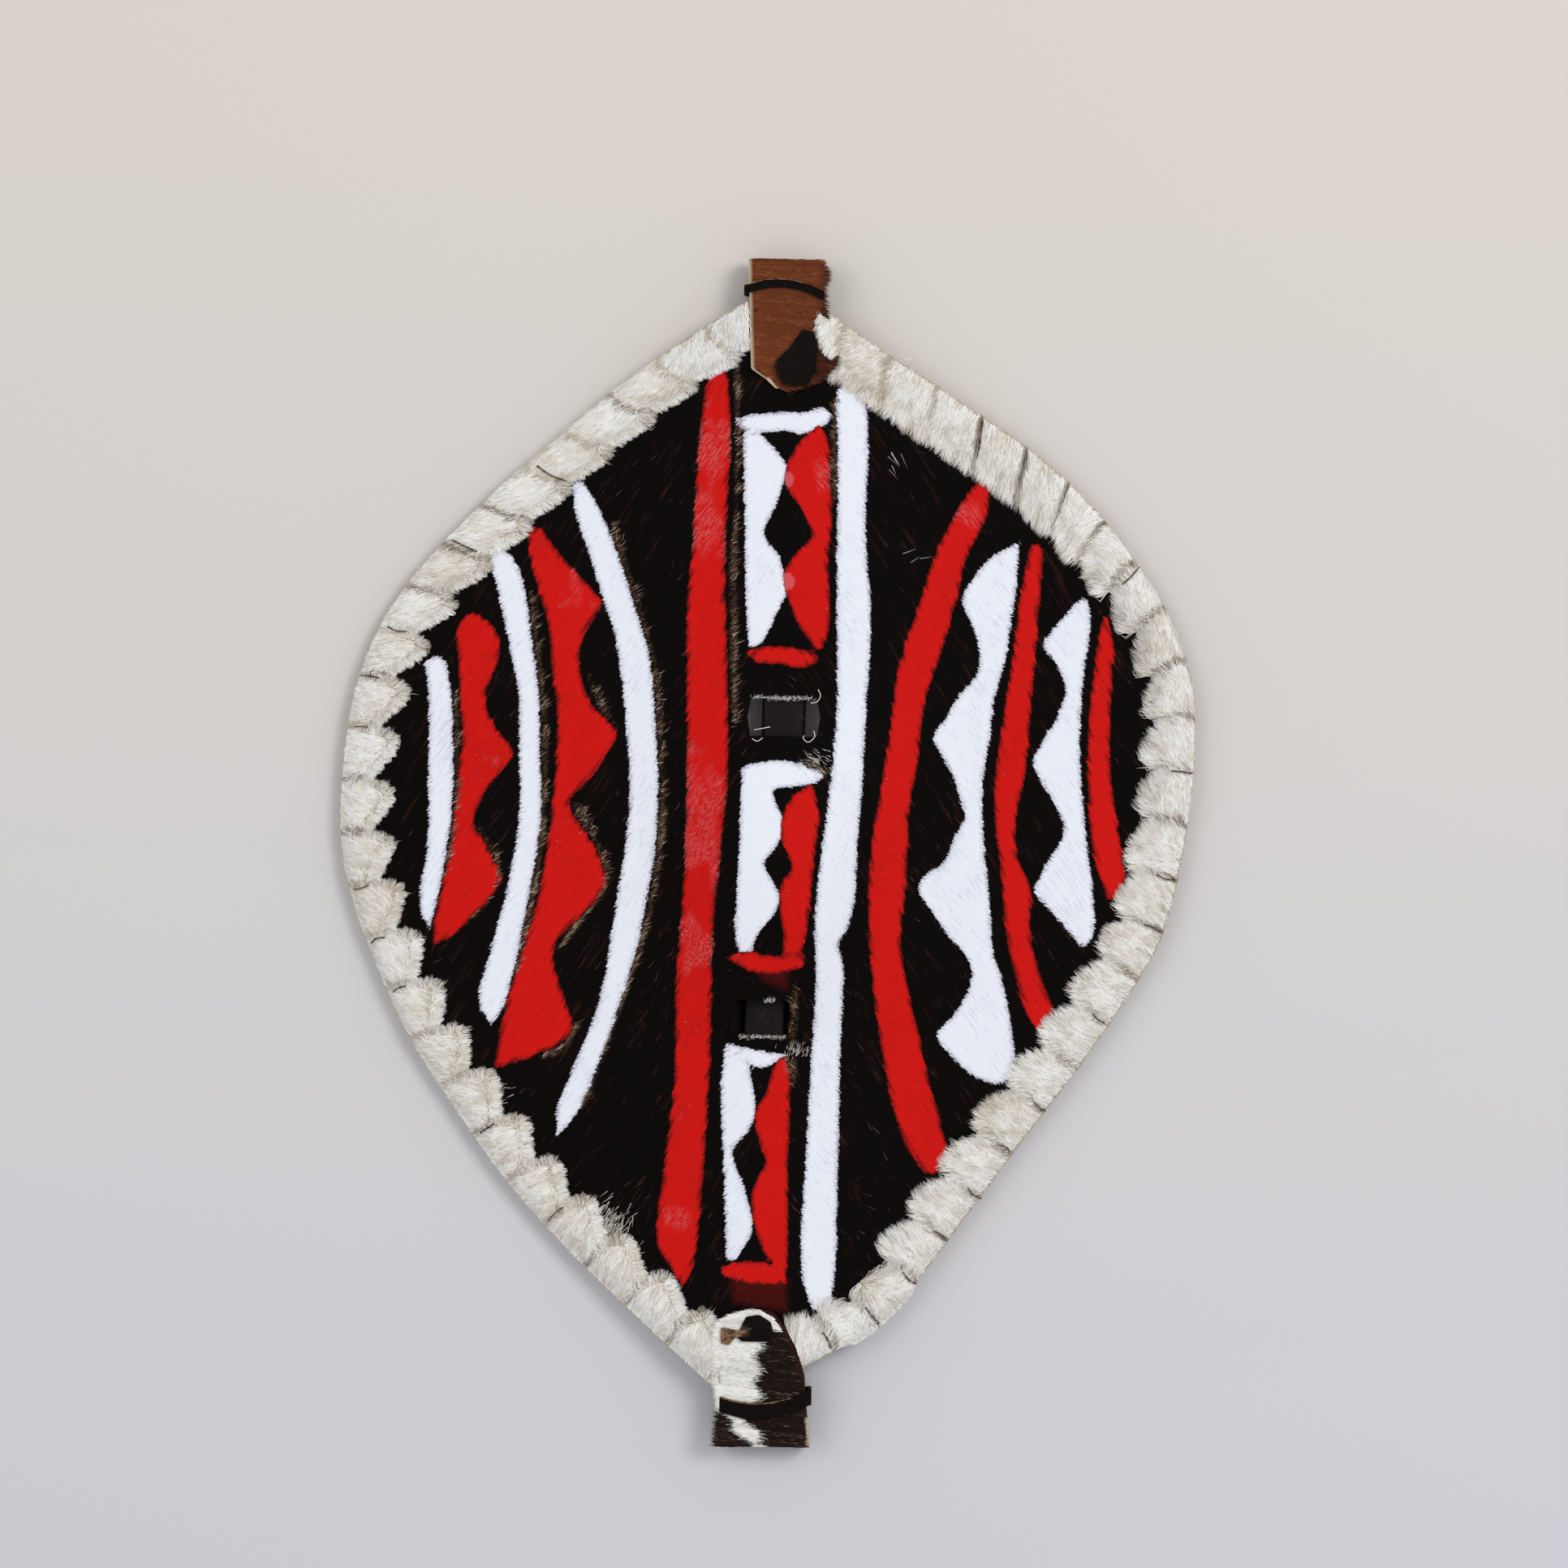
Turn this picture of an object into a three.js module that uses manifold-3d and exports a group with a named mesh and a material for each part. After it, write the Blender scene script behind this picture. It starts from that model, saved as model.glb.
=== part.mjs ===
// A pointed-oval hide shield, lying face up on its back.
// Millimetres. +X across, +Y along the stave towards the top, +Z out of the painted face.
// One panel of hair-on cowhide is stretched over a flat wooden stave. Its rim is bound with a strip
// of pale hair-on hide laced through slits, one binding down each side, and a folded hide flap is
// tied over each end of the stave.

import * as THREE from 'three';
import { mergeVertices } from 'three/addons/utils/BufferGeometryUtils.js';
import Module from 'manifold-3d';

const wasm = await Module();
wasm.setup();

// ---- driving sizes -------------------------------------------------------------------------

const GAP = 0.3; // air left between pieces that touch
const TALL = 60; // height of a cutting tool, more than the shield is deep

const HIDE = 3.2; // thickness of the panel's cowhide
const PANEL = { top: 271, bottom: -256, rows: 25, sideColumns: 4, ridgeColumns: 3 };
const EDGE_IN = 5; // the panel's edge lies this far inside the outline, within the binding

const RIM_MID = 7.3; // height of the middle of the hide round the rim
const RIDGE_MID = 17.3; // and where it rides over the stave
const RIDGE_FALL = 110; // the hide comes down from ridge to rim within this distance
const FALL_POWER = 1.8;
// Between the two windows the hide is beaten up into a boss, which leaves room for fingers.
const GRIP = { middle: -8, reach: 85, rise: 16, flat: 12, fade: 60 };

const STAVE = { width: 22, thick: 11, under: 4.4, end: 293.6, rounding: 3, step: 34 };

const BINDING = { turns: 26, stepsPerTurn: 4, sides: 8 };
const LACING = { inFromEdge: 21, long: 6, wide: 2.4 };

const STRIP = 2; // thickness of the flaps' hide
const END = 300; // half the length of the whole shield
const FLAP_OVER_HIDE = RIDGE_MID + HIDE / 2 + GAP + STRIP / 2; // middle of the front layer
const FLAP_OVER_STAVE = STAVE.under + STAVE.thick + GAP + STRIP / 2;
const FLAP_BEHIND = STAVE.under - GAP - STRIP / 2;
const THONG = 1.8;

// The long axis stands a little right of the middle of the outline, which is fuller on the left.
const AXIS_X = 3.44;

// The outline of the bound rim, from the top end down: distance from the axis, place along it.
const OUTLINE = {
  left: [
    [14, 284], [60, 254], [100, 222], [130, 195], [160, 165], [181, 142], [200, 114], [213, 80],
    [219, 40], [219, 0], [212, -31], [200, -62], [182, -98], [160, -131], [131, -170], [98, -205],
    [60, -240], [24, -272], [10, -284],
  ],
  right: [
    [14, 281], [50, 257], [90, 232], [130, 205], [160, 178], [181, 150], [200, 117], [211, 85],
    [213, 55], [210, 20], [205, -12], [196, -44], [180, -72], [158, -105], [132, -140],
    [103, -180], [74, -219], [52, -241], [10, -266],
  ],
};

// Where the middle of the ridge, half its width and the middle of the stave are, along the shield.
const RIDGE_CENTRE = [[-262, -4], [-200, -8], [-105, -8], [-55, -4.5], [0, 0.5], [40, 2.5],
  [120, 3], [200, 1.5], [277, -1]];
const RIDGE_HALF = [[-262, 17.5], [-200, 17.5], [-60, 19], [40, 20.5], [200, 23], [277, 23]];
const STAVE_CENTRE = [[-300, -2], [-200, -5], [-83, -4.7], [0, 0], [68, 2.75], [200, 0.5], [300, -1]];

// How far inner ends of the lacing turns run ahead of their outer ends, down the rim.
const LEAN = {
  left: [[-300, 0], [-100, 0], [60, -3], [140, -8], [300, -9]],
  right: [[-300, 0], [60, 0], [150, 6], [200, 11], [300, 11]],
};

// One lacing turn, in quarters: how far its inner edge comes out, from notch 0 to tooth 1, its
// half height, and the inset of its outer edge. The strip winds the same way round on both sides.
const TURN = {
  left: [[0, 5.6, 1.2], [1, 6.9, 0.2], [0.75, 7, 0], [0.35, 6.5, 0.4]],
  right: [[0, 5.6, 1.2], [0.4, 6.6, 0.3], [0.9, 7, 0], [1, 6.8, 0.2]],
};
const TOOTH = { left: 0.32, right: 0.68 }; // how far into a turn its tooth dives through the panel
const TOOTH_OUT = { left: 27, right: 26.5 }; // width of the binding at a tooth
// Depth of the notches between the teeth, by the share of the rim from the top end.
const NOTCH = {
  left: [[0, 5], [0.25, 5], [0.38, 13], [0.62, 13], [0.8, 11], [1, 9]],
  right: [[0, 3], [0.2, 3], [0.3, 10], [0.42, 11], [0.5, 8], [0.62, 11], [0.85, 12], [1, 9]],
};

const WINDOWS = [
  { left: -14, right: 19.5, bottom: 59, top: 78 },
  { left: -19, right: 9.6, bottom: -93, top: -74 },
];
const BRIDGE = { thick: 2.6, insideWindow: 1.45, rootOut: 3.2 };

const TOP_FLAP = [
  [-18.6, END], [16, END - 0.5], [19, 293], [16.8, 284], [18, 277], [19.5, 262], [22, 255],
  [24, 247.5], [17, 239.5], [4, 235], [-2, 234], [-9, 240.5], [-16.5, 245.5],
];
const BOTTOM_FLAP = [
  [-24, -239], [-20, -234.5], [-12, -231], [-4, -230], [3, -233.5], [8, -240], [13, -249],
  [16, -258], [18.5, -266], [19.5, -280], [21.5, -END + 0.5], [-24, -END], [-22.3, -285],
  [-22, -274], [-24, -262], [-25, -250],
];
const TOP_THONG = [[9, 264], [15.5, 262.5], [16, 246], [12, 239], [4, 238], [-1, 241], [-3, 249],
  [3, 255]];
const BOTTOM_THONG = [[-24, -239], [-15, -240.5], [-11.5, -233.5], [-5, -232.3], [1, -236],
  [2.5, -242], [-1, -246], [-13.5, -246], [-16.5, -243.5], [-20, -248], [-24, -247]];
const TOP_SLIT = { x: 12, y: 262.6, long: 5, wide: 1.6 };
const BOTTOM_SLIT = { x: -6, y: -234.6, long: 6, wide: 1.6 };

const TOP_TIE = { left: -19.9, right: 19, wide: 4.5, thick: 1.6, ends: [284.2, 281.8], peak: 287.4 };
const BOTTOM_TIE = { left: -23.6, right: 21.3, wide: 8, thick: 1.6, ends: [-278.4, -274], peak: -281 };

// ---- small helpers -------------------------------------------------------------------------

// A smooth value along the shield, through a few stations of [place, value].
function stations(rows) {
  const places = rows.map((row) => row[0]);
  const curve = new THREE.CubicInterpolant(places, rows.map((row) => row[1]), 1);
  return (y) => curve.evaluate(THREE.MathUtils.clamp(y, places[0], places.at(-1)))[0];
}

const ridgeCentre = stations(RIDGE_CENTRE);
const ridgeHalf = stations(RIDGE_HALF);
const staveCentre = stations(STAVE_CENTRE);
const lean = { left: stations(LEAN.left), right: stations(LEAN.right) };
const notch = { left: stations(NOTCH.left), right: stations(NOTCH.right) };

function toManifold(geometry) {
  const bare = geometry.clone();
  bare.deleteAttribute('normal');
  bare.deleteAttribute('uv');
  const merged = mergeVertices(bare, 1e-4);
  return new wasm.Manifold(new wasm.Mesh({
    numProp: 3,
    vertProperties: Float32Array.from(merged.attributes.position.array),
    triVerts: Uint32Array.from(merged.index.array),
  }));
}

function indexed(positions, triangles) {
  const geometry = new THREE.BufferGeometry();
  geometry.setAttribute('position', new THREE.Float32BufferAttribute(positions, 3));
  geometry.setIndex(triangles);
  return geometry;
}

// Only the largest body of a cut piece is kept: a cut can leave a crumb past a neighbour.
function largest(solid) {
  return solid.decompose().reduce((a, b) => (a.volume() > b.volume() ? a : b));
}

function toGeometry(solid) {
  const mesh = solid.getMesh();
  const geometry = indexed(Array.from(mesh.vertProperties), Array.from(mesh.triVerts));
  geometry.computeVertexNormals();
  return geometry;
}

// A prism over an outline in the XY plane, from height low to height high.
function prism(outline, low, high, grow = 0) {
  const centre = outline.reduce((sum, p) => [sum[0] + p[0] / outline.length,
    sum[1] + p[1] / outline.length], [0, 0]);
  const points = outline.map(([x, y]) => {
    const away = new THREE.Vector2(x - centre[0], y - centre[1]);
    return away.setLength(away.length() + grow).add(new THREE.Vector2(...centre));
  });
  const geometry = new THREE.ExtrudeGeometry(new THREE.Shape(points),
    { depth: high - low, bevelEnabled: false });
  return toManifold(geometry.translate(0, 0, low));
}

// A small upright block, turned about Z, as a cutter or a peg.
function block(x, y, angle, long, wide, low, high) {
  const geometry = new THREE.BoxGeometry(long, wide, high - low);
  geometry.rotateZ(angle).translate(x, y, (low + high) / 2);
  return toManifold(geometry);
}

// A closed band outline of even thickness, along a route of 2-D points, mitred at its corners.
function bandShape(route, thickness) {
  const points = route.map(([a, b]) => new THREE.Vector2(a, b));
  const one = [];
  const other = [];
  points.forEach((point, i) => {
    const before = point.clone().sub(points[Math.max(0, i - 1)]).normalize();
    const after = points[Math.min(points.length - 1, i + 1)].clone().sub(point).normalize();
    const along = before.clone().add(after).normalize();
    const half = thickness / 2 / Math.max(along.dot(before), along.dot(after));
    const side = new THREE.Vector2(-along.y, along.x).multiplyScalar(half);
    one.push(point.clone().add(side));
    other.unshift(point.clone().sub(side));
  });
  return new THREE.Shape([...one, ...other]);
}

// ---- the sheet of hide ---------------------------------------------------------------------

// Height of the middle of the panel's hide.
function hideHeight(x, y) {
  const across = Math.abs(x - ridgeCentre(y));
  const slope = Math.max(0, 1 - Math.max(0, across - ridgeHalfAt(y)) / RIDGE_FALL) ** FALL_POWER;
  const along = Math.cos((Math.PI / 2) * Math.min(1, Math.abs(y - GRIP.middle) / GRIP.reach));
  const side = THREE.MathUtils.smoothstep(-across, -GRIP.flat - GRIP.fade, -GRIP.flat);
  return RIM_MID + (RIDGE_MID - RIM_MID) * slope + GRIP.rise * along * side;
}

// Near the pointed ends the ridge narrows with the panel.
function ridgeHalfAt(y) {
  const room = Math.min(edgeAt('right', y) - ridgeCentre(y), edgeAt('left', y) + ridgeCentre(y));
  return Math.min(ridgeHalf(y), 0.85 * room);
}

const SIGN = { left: -1, right: 1 };
const rim = {};
for (const side of ['left', 'right']) {
  const points = OUTLINE[side].map(([x, y]) => new THREE.Vector3(SIGN[side] * x, y, 0));
  rim[side] = new THREE.CatmullRomCurve3(points, false, 'centripetal');
  rim[side].arcLengthDivisions = 400;
}

// A point of the shield's plan: how far down the rim, 0 to 1, and how far in from the outline.
function fromRim(side, t, inward) {
  const u = THREE.MathUtils.clamp(t, 0, 1);
  const point = rim[side].getPointAt(u);
  const tangent = rim[side].getTangentAt(u);
  const inwards = new THREE.Vector3(tangent.y, -tangent.x, 0).multiplyScalar(SIGN[side]);
  return { point: point.addScaledVector(inwards, inward), tangent };
}

// Distance of the panel's edge from the axis, at a place along it.
const edgeRows = {};
for (const side of ['left', 'right']) {
  const rows = [];
  const samples = 240;
  for (let i = 0; i <= samples; i += 1) {
    const { point } = fromRim(side, i / samples, EDGE_IN);
    rows.push([point.y, Math.abs(point.x)]);
  }
  edgeRows[side] = rows.sort((a, b) => a[0] - b[0]);
}

function edgeAt(side, y) {
  const rows = edgeRows[side];
  const above = rows.findIndex((row) => row[0] >= y);
  if (above <= 0) return above === 0 ? rows[0][1] : rows.at(-1)[1];
  const [y0, x0] = rows[above - 1];
  const [y1, x1] = rows[above];
  return THREE.MathUtils.mapLinear(y, y0, y1, x0, x1);
}

// The panel without its windows, grown all round by a clearance where one is given.
function hideSheet(grow = 0) {
  const positions = [];
  const triangles = [];
  const columns = 2 * PANEL.sideColumns + PANEL.ridgeColumns;
  for (let r = 0; r <= PANEL.rows; r += 1) {
    const y = THREE.MathUtils.lerp(PANEL.bottom, PANEL.top, r / PANEL.rows);
    const outerY = y + (r === 0 ? -grow : 0) + (r === PANEL.rows ? grow : 0);
    const middle = ridgeCentre(y);
    const half = ridgeHalfAt(y);
    const marks = [-edgeAt('left', y) - grow, middle - half, middle + half, edgeAt('right', y) + grow];
    for (let c = 0; c <= columns; c += 1) {
      let x;
      if (c <= PANEL.sideColumns) {
        x = THREE.MathUtils.lerp(marks[0], marks[1], c / PANEL.sideColumns);
      } else if (c <= PANEL.sideColumns + PANEL.ridgeColumns) {
        x = THREE.MathUtils.lerp(marks[1], marks[2], (c - PANEL.sideColumns) / PANEL.ridgeColumns);
      } else {
        x = THREE.MathUtils.lerp(marks[2], marks[3],
          (c - PANEL.sideColumns - PANEL.ridgeColumns) / PANEL.sideColumns);
      }
      const z = hideHeight(x, y);
      positions.push(x, outerY, z + HIDE / 2 + grow, x, outerY, z - HIDE / 2 - grow);
    }
  }
  const at = (r, c, under) => 2 * (r * (columns + 1) + c) + under;
  const quad = (a, b, c, d) => triangles.push(a, b, c, a, c, d);
  for (let r = 0; r < PANEL.rows; r += 1) {
    for (let c = 0; c < columns; c += 1) {
      quad(at(r, c, 0), at(r, c + 1, 0), at(r + 1, c + 1, 0), at(r + 1, c, 0));
      quad(at(r, c, 1), at(r + 1, c, 1), at(r + 1, c + 1, 1), at(r, c + 1, 1));
    }
    quad(at(r, 0, 1), at(r, 0, 0), at(r + 1, 0, 0), at(r + 1, 0, 1));
    quad(at(r, columns, 0), at(r, columns, 1), at(r + 1, columns, 1), at(r + 1, columns, 0));
  }
  for (let c = 0; c < columns; c += 1) {
    quad(at(0, c, 1), at(0, c + 1, 1), at(0, c + 1, 0), at(0, c, 0));
    const top = PANEL.rows;
    quad(at(top, c, 0), at(top, c + 1, 0), at(top, c + 1, 1), at(top, c, 1));
  }
  return lacingSlits(-grow).reduce((sheet, slit) => sheet.subtract(slit),
    toManifold(indexed(positions, triangles)));
}

// The slits that the binding is laced through, one for each turn that clears the end flaps.
function lacingSlits(grow) {
  const slits = [];
  for (const side of ['left', 'right']) {
    for (let turn = 0; turn < BINDING.turns; turn += 1) {
      const t = (turn + TOOTH[side]) / BINDING.turns;
      const shift = leanAt(side, t) * (LACING.inFromEdge / 24 - 0.5);
      const { point, tangent } = fromRim(side, t + shift / rim[side].getLength(), LACING.inFromEdge);
      if (Math.abs(point.x) < 34) continue;
      slits.push(block(point.x, point.y, Math.atan2(tangent.y, tangent.x),
        LACING.long + 2 * grow, LACING.wide + 2 * grow, -TALL, TALL));
    }
  }
  return slits;
}

function leanAt(side, t) {
  return lean[side](rim[side].getPointAt(THREE.MathUtils.clamp(t, 0, 1)).y);
}

// A strip of the panel cut free by two slits, which passes behind the stave.
function bridge(window) {
  const low = STAVE.under - 2 * GAP - BRIDGE.thick / 2;
  const root = RIDGE_MID + hideLift(window);
  const arm = [[-BRIDGE.rootOut, root], [-0.4, root - 0.2], [BRIDGE.insideWindow, root - 3],
    [BRIDGE.insideWindow, low + 2.2], [BRIDGE.insideWindow + 0.8, low + 0.6],
    [BRIDGE.insideWindow + 2.2, low]];
  const { left, right } = window;
  const route = [...arm.map(([x, z]) => [left + x, z]),
    ...arm.map(([x, z]) => [right - x, z]).reverse()];
  const wide = window.top - window.bottom - 2 * GAP;
  const geometry = new THREE.ExtrudeGeometry(bandShape(route, BRIDGE.thick),
    { depth: wide, bevelEnabled: false });
  geometry.rotateX(Math.PI / 2).translate(0, window.top - GAP, 0);
  return toManifold(geometry);
}

// How much the boss lifts the hide at the ends of a window.
function hideLift(window) {
  const y = (window.top + window.bottom) / 2;
  return hideHeight(ridgeCentre(y), y) - RIDGE_MID;
}

function hidePanel() {
  let panel = hideSheet();
  for (const window of WINDOWS) {
    const { left, right, bottom, top } = window;
    panel = panel.subtract(prism([[left, bottom], [right, bottom], [right + 1.5, (bottom + top) / 2],
      [right, top], [left, top], [left - 1.5, (bottom + top) / 2]], -TALL, TALL));
    panel = panel.add(bridge(window));
  }
  return largest(panel);
}

// ---- the laced rim -------------------------------------------------------------------------

function rimBinding(side) {
  const { turns, stepsPerTurn, sides } = BINDING;
  const positions = [];
  const triangles = [];
  const count = turns * stepsPerTurn;
  const length = rim[side].getLength();
  for (let i = 0; i <= count; i += 1) {
    const [out, half, inset] = TURN[side][i % stepsPerTurn];
    const t = i / count;
    const width = TOOTH_OUT[side] - (1 - out) * notch[side](t);
    for (let j = 0; j < sides; j += 1) {
      const angle = (2 * Math.PI * j) / sides;
      const inward = inset + (width - inset) * (0.5 - 0.5 * Math.cos(angle));
      const shift = leanAt(side, t) * (inward / 24 - 0.5);
      const { point } = fromRim(side, t + shift / length, inward);
      positions.push(point.x, point.y, hideHeight(point.x, point.y) + half * Math.sin(angle));
    }
  }
  const at = (i, j) => i * sides + (j % sides);
  for (let i = 0; i < count; i += 1) {
    for (let j = 0; j < sides; j += 1) {
      const [a, b, c, d] = [at(i, j), at(i, j + 1), at(i + 1, j + 1), at(i + 1, j)];
      triangles.push(...(side === 'left' ? [a, c, b, a, d, c] : [a, b, c, a, c, d]));
    }
  }
  for (let j = 1; j < sides - 1; j += 1) {
    const start = [at(0, 0), at(0, j), at(0, j + 1)];
    const end = [at(count, 0), at(count, j + 1), at(count, j)];
    triangles.push(...(side === 'left' ? start : start.reverse()));
    triangles.push(...(side === 'left' ? end : end.reverse()));
  }
  let binding = toManifold(indexed(positions, triangles)).subtract(hideSheet(GAP));
  for (const flap of [TOP_FLAP, BOTTOM_FLAP]) binding = binding.subtract(prism(flap, -TALL, TALL, 0.9));
  return largest(binding);
}

// ---- stave, flaps, ties and thongs ---------------------------------------------------------

function stave() {
  const { width, thick, under, end, rounding, step } = STAVE;
  const half = width / 2;
  const section = [
    [-half + 1, 0], [half - 1, 0], [half, 1.2], [half, thick - rounding],
    [half - rounding, thick], [-half + rounding, thick], [-half, thick - rounding], [-half, 1.2],
  ];
  const positions = [];
  const triangles = [];
  const pieces = Math.round((2 * end) / step);
  const sides = section.length;
  for (let i = 0; i <= pieces; i += 1) {
    const y = THREE.MathUtils.lerp(-end, end, i / pieces);
    for (const [x, z] of section) positions.push(x + staveCentre(y), y, z + under);
  }
  for (let i = 0; i < pieces; i += 1) {
    for (let j = 0; j < sides; j += 1) {
      const k = (j + 1) % sides;
      const [a, b, c, d] = [i * sides + j, i * sides + k, (i + 1) * sides + k, (i + 1) * sides + j];
      triangles.push(a, c, b, a, d, c);
    }
  }
  const last = pieces * sides;
  for (let j = 1; j < sides - 1; j += 1) {
    triangles.push(0, j, j + 1, last, last + j + 1, last + j);
  }
  return toManifold(indexed(positions, triangles));
}

// A strip of hide folded over one end of the stave. sign is 1 at the top and -1 at the bottom.
function flap(outline, sign, hideEnd, backEnd, slit) {
  const tip = sign === 1 ? Math.min(...outline.map((p) => p[1])) : Math.max(...outline.map((p) => p[1]));
  const end = END - STRIP / 2;
  const route = [
    [sign * tip - 4, FLAP_OVER_HIDE], [hideEnd + 1, FLAP_OVER_HIDE], [hideEnd + 3, FLAP_OVER_HIDE - 0.7],
    [hideEnd + 6, FLAP_OVER_STAVE + 0.7], [hideEnd + 8, FLAP_OVER_STAVE], [end - 4, FLAP_OVER_STAVE],
    [end - 1.2, FLAP_OVER_STAVE - 1.2], [end, FLAP_OVER_STAVE - 4], [end, FLAP_BEHIND + 4],
    [end - 1.2, FLAP_BEHIND + 1.2], [end - 4, FLAP_BEHIND], [backEnd, FLAP_BEHIND],
  ].map(([y, z]) => [sign * y, z]);
  const across = 80;
  const geometry = new THREE.ExtrudeGeometry(bandShape(route, STRIP),
    { depth: across, bevelEnabled: false });
  // The route runs in Y and Z, and the strip's width along X.
  geometry.applyMatrix4(new THREE.Matrix4().makeBasis(new THREE.Vector3(0, 1, 0),
    new THREE.Vector3(0, 0, 1), new THREE.Vector3(1, 0, 0))).translate(-across / 2, 0, 0);
  const strip = toManifold(geometry).intersect(prism(outline, -TALL, TALL));
  const opening = block(slit.x, slit.y, 0, slit.long + 2 * GAP, slit.wide + 2 * GAP,
    RIDGE_MID, TALL);
  return largest(strip.subtract(opening));
}

// A cut thong end that lies on the flap, its root pushed through a slit in it.
function thong(outline, slit) {
  const low = FLAP_OVER_HIDE + STRIP / 2 + GAP;
  const plate = prism(outline, low, low + THONG);
  return plate.add(block(slit.x, slit.y, 0, slit.long, slit.wide, low - STRIP, low + THONG / 2));
}

// A flat thong tied round a flap and the stave in it: a closed band that bows along the front.
function tie({ left, right, wide, thick, ends, peak }) {
  const front = FLAP_OVER_STAVE + STRIP / 2 + GAP + thick / 2;
  const back = FLAP_BEHIND - STRIP / 2 - GAP - thick / 2;
  const corner = 0.8;
  const frontSteps = 10;
  const loop = [];
  for (let i = 0; i <= frontSteps; i += 1) {
    const share = i / frontSteps;
    const chord = THREE.MathUtils.lerp(ends[0], ends[1], share);
    const bow = 4 * share * (1 - share) * (peak - (ends[0] + ends[1]) / 2);
    loop.push([THREE.MathUtils.lerp(left + corner, right - corner, share), chord + bow, front]);
  }
  loop.push([right, ends[1], front - corner], [right, ends[1], back + corner],
    [right - corner, ends[1], back], [left + corner, ends[0], back],
    [left, ends[0], back + corner], [left, ends[0], front - corner]);
  const positions = [];
  const triangles = [];
  loop.forEach(([x, y, z], i) => {
    const last = loop[(i + loop.length - 1) % loop.length];
    const next = loop[(i + 1) % loop.length];
    const before = new THREE.Vector2(x - last[0], z - last[2]).normalize();
    const after = new THREE.Vector2(next[0] - x, next[2] - z).normalize();
    const along = before.clone().add(after).normalize();
    const half = thick / 2 / along.dot(after);
    const out = new THREE.Vector2(-along.y, along.x).multiplyScalar(half);
    for (const [o, w] of [[1, -0.5], [1, 0.5], [-1, 0.5], [-1, -0.5]]) {
      positions.push(x + o * out.x, y + w * wide, z + o * out.y);
    }
  });
  for (let i = 0; i < loop.length; i += 1) {
    const next = (i + 1) % loop.length;
    for (let j = 0; j < 4; j += 1) {
      const k = (j + 1) % 4;
      const [a, b, c, d] = [4 * i + j, 4 * next + j, 4 * next + k, 4 * i + k];
      triangles.push(a, b, c, a, c, d);
    }
  }
  return toManifold(indexed(positions, triangles));
}

// ---- the group -----------------------------------------------------------------------------

const FINISH = {
  blackHide: new THREE.MeshStandardMaterial({ color: 0x120c09, roughness: 0.6, metalness: 0 }),
  paleHair: new THREE.MeshStandardMaterial({ color: 0xd9d2c4, roughness: 0.85, metalness: 0 }),
  brownHair: new THREE.MeshStandardMaterial({ color: 0x6e3c22, roughness: 0.6, metalness: 0 }),
  piedHair: new THREE.MeshStandardMaterial({ color: 0xc9c2ba, roughness: 0.75, metalness: 0 }),
  darkWood: new THREE.MeshStandardMaterial({ color: 0x1f1611, roughness: 0.55, metalness: 0 }),
  thong: new THREE.MeshStandardMaterial({ color: 0x17110e, roughness: 0.6, metalness: 0 }),
};

const PIECES = [
  ['hide_panel', hidePanel(), FINISH.blackHide],
  ['rim_binding_left', rimBinding('left'), FINISH.paleHair],
  ['rim_binding_right', rimBinding('right'), FINISH.paleHair],
  ['stave', stave(), FINISH.darkWood],
  ['top_flap', flap(TOP_FLAP, 1, PANEL.top, 248, TOP_SLIT), FINISH.brownHair],
  ['top_tie', tie(TOP_TIE), FINISH.thong],
  ['top_thong', thong(TOP_THONG, TOP_SLIT), FINISH.thong],
  ['bottom_flap', flap(BOTTOM_FLAP, -1, -PANEL.bottom, 248, BOTTOM_SLIT), FINISH.piedHair],
  ['bottom_tie', tie(BOTTOM_TIE), FINISH.thong],
  ['bottom_thong', thong(BOTTOM_THONG, BOTTOM_SLIT), FINISH.thong],
];

const shield = new THREE.Group();
for (const [name, solid, finish] of PIECES) {
  const mesh = new THREE.Mesh(toGeometry(solid), finish);
  mesh.name = name;
  shield.add(mesh);
}
shield.position.set(AXIS_X, 0, -(FLAP_BEHIND - STRIP / 2 - GAP - TOP_TIE.thick));

export default shield;
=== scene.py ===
"""Hide shield: a Blender add-on that dresses the shield's solids with painted cowhide, a laced rim
of pale hair, hair-covered end flaps, thongs and a studio stage."""

import math

import bpy
import numpy as np
from bpy.props import FloatProperty, FloatVectorProperty, IntProperty, PointerProperty
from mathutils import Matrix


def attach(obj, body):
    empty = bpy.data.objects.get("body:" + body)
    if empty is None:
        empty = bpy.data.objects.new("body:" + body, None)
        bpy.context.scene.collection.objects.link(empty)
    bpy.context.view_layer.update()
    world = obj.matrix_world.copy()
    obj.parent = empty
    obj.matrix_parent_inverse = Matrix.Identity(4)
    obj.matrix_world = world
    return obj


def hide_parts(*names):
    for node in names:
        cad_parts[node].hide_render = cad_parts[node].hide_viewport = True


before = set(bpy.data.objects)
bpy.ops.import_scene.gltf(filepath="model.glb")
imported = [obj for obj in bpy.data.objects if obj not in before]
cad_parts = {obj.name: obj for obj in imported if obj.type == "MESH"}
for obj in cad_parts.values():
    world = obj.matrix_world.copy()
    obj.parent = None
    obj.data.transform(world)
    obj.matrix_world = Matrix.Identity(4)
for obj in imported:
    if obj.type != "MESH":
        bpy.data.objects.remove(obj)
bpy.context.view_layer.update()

bl_info = {
    "name": "Hide shield",
    "version": (1, 0, 0),
    "blender": (4, 5, 0),
    "location": "View3D > Sidebar > Shield",
    "description": "Dresses a pointed-oval hide shield with paint, hair and thongs",
    "category": "Object",
}

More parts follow.
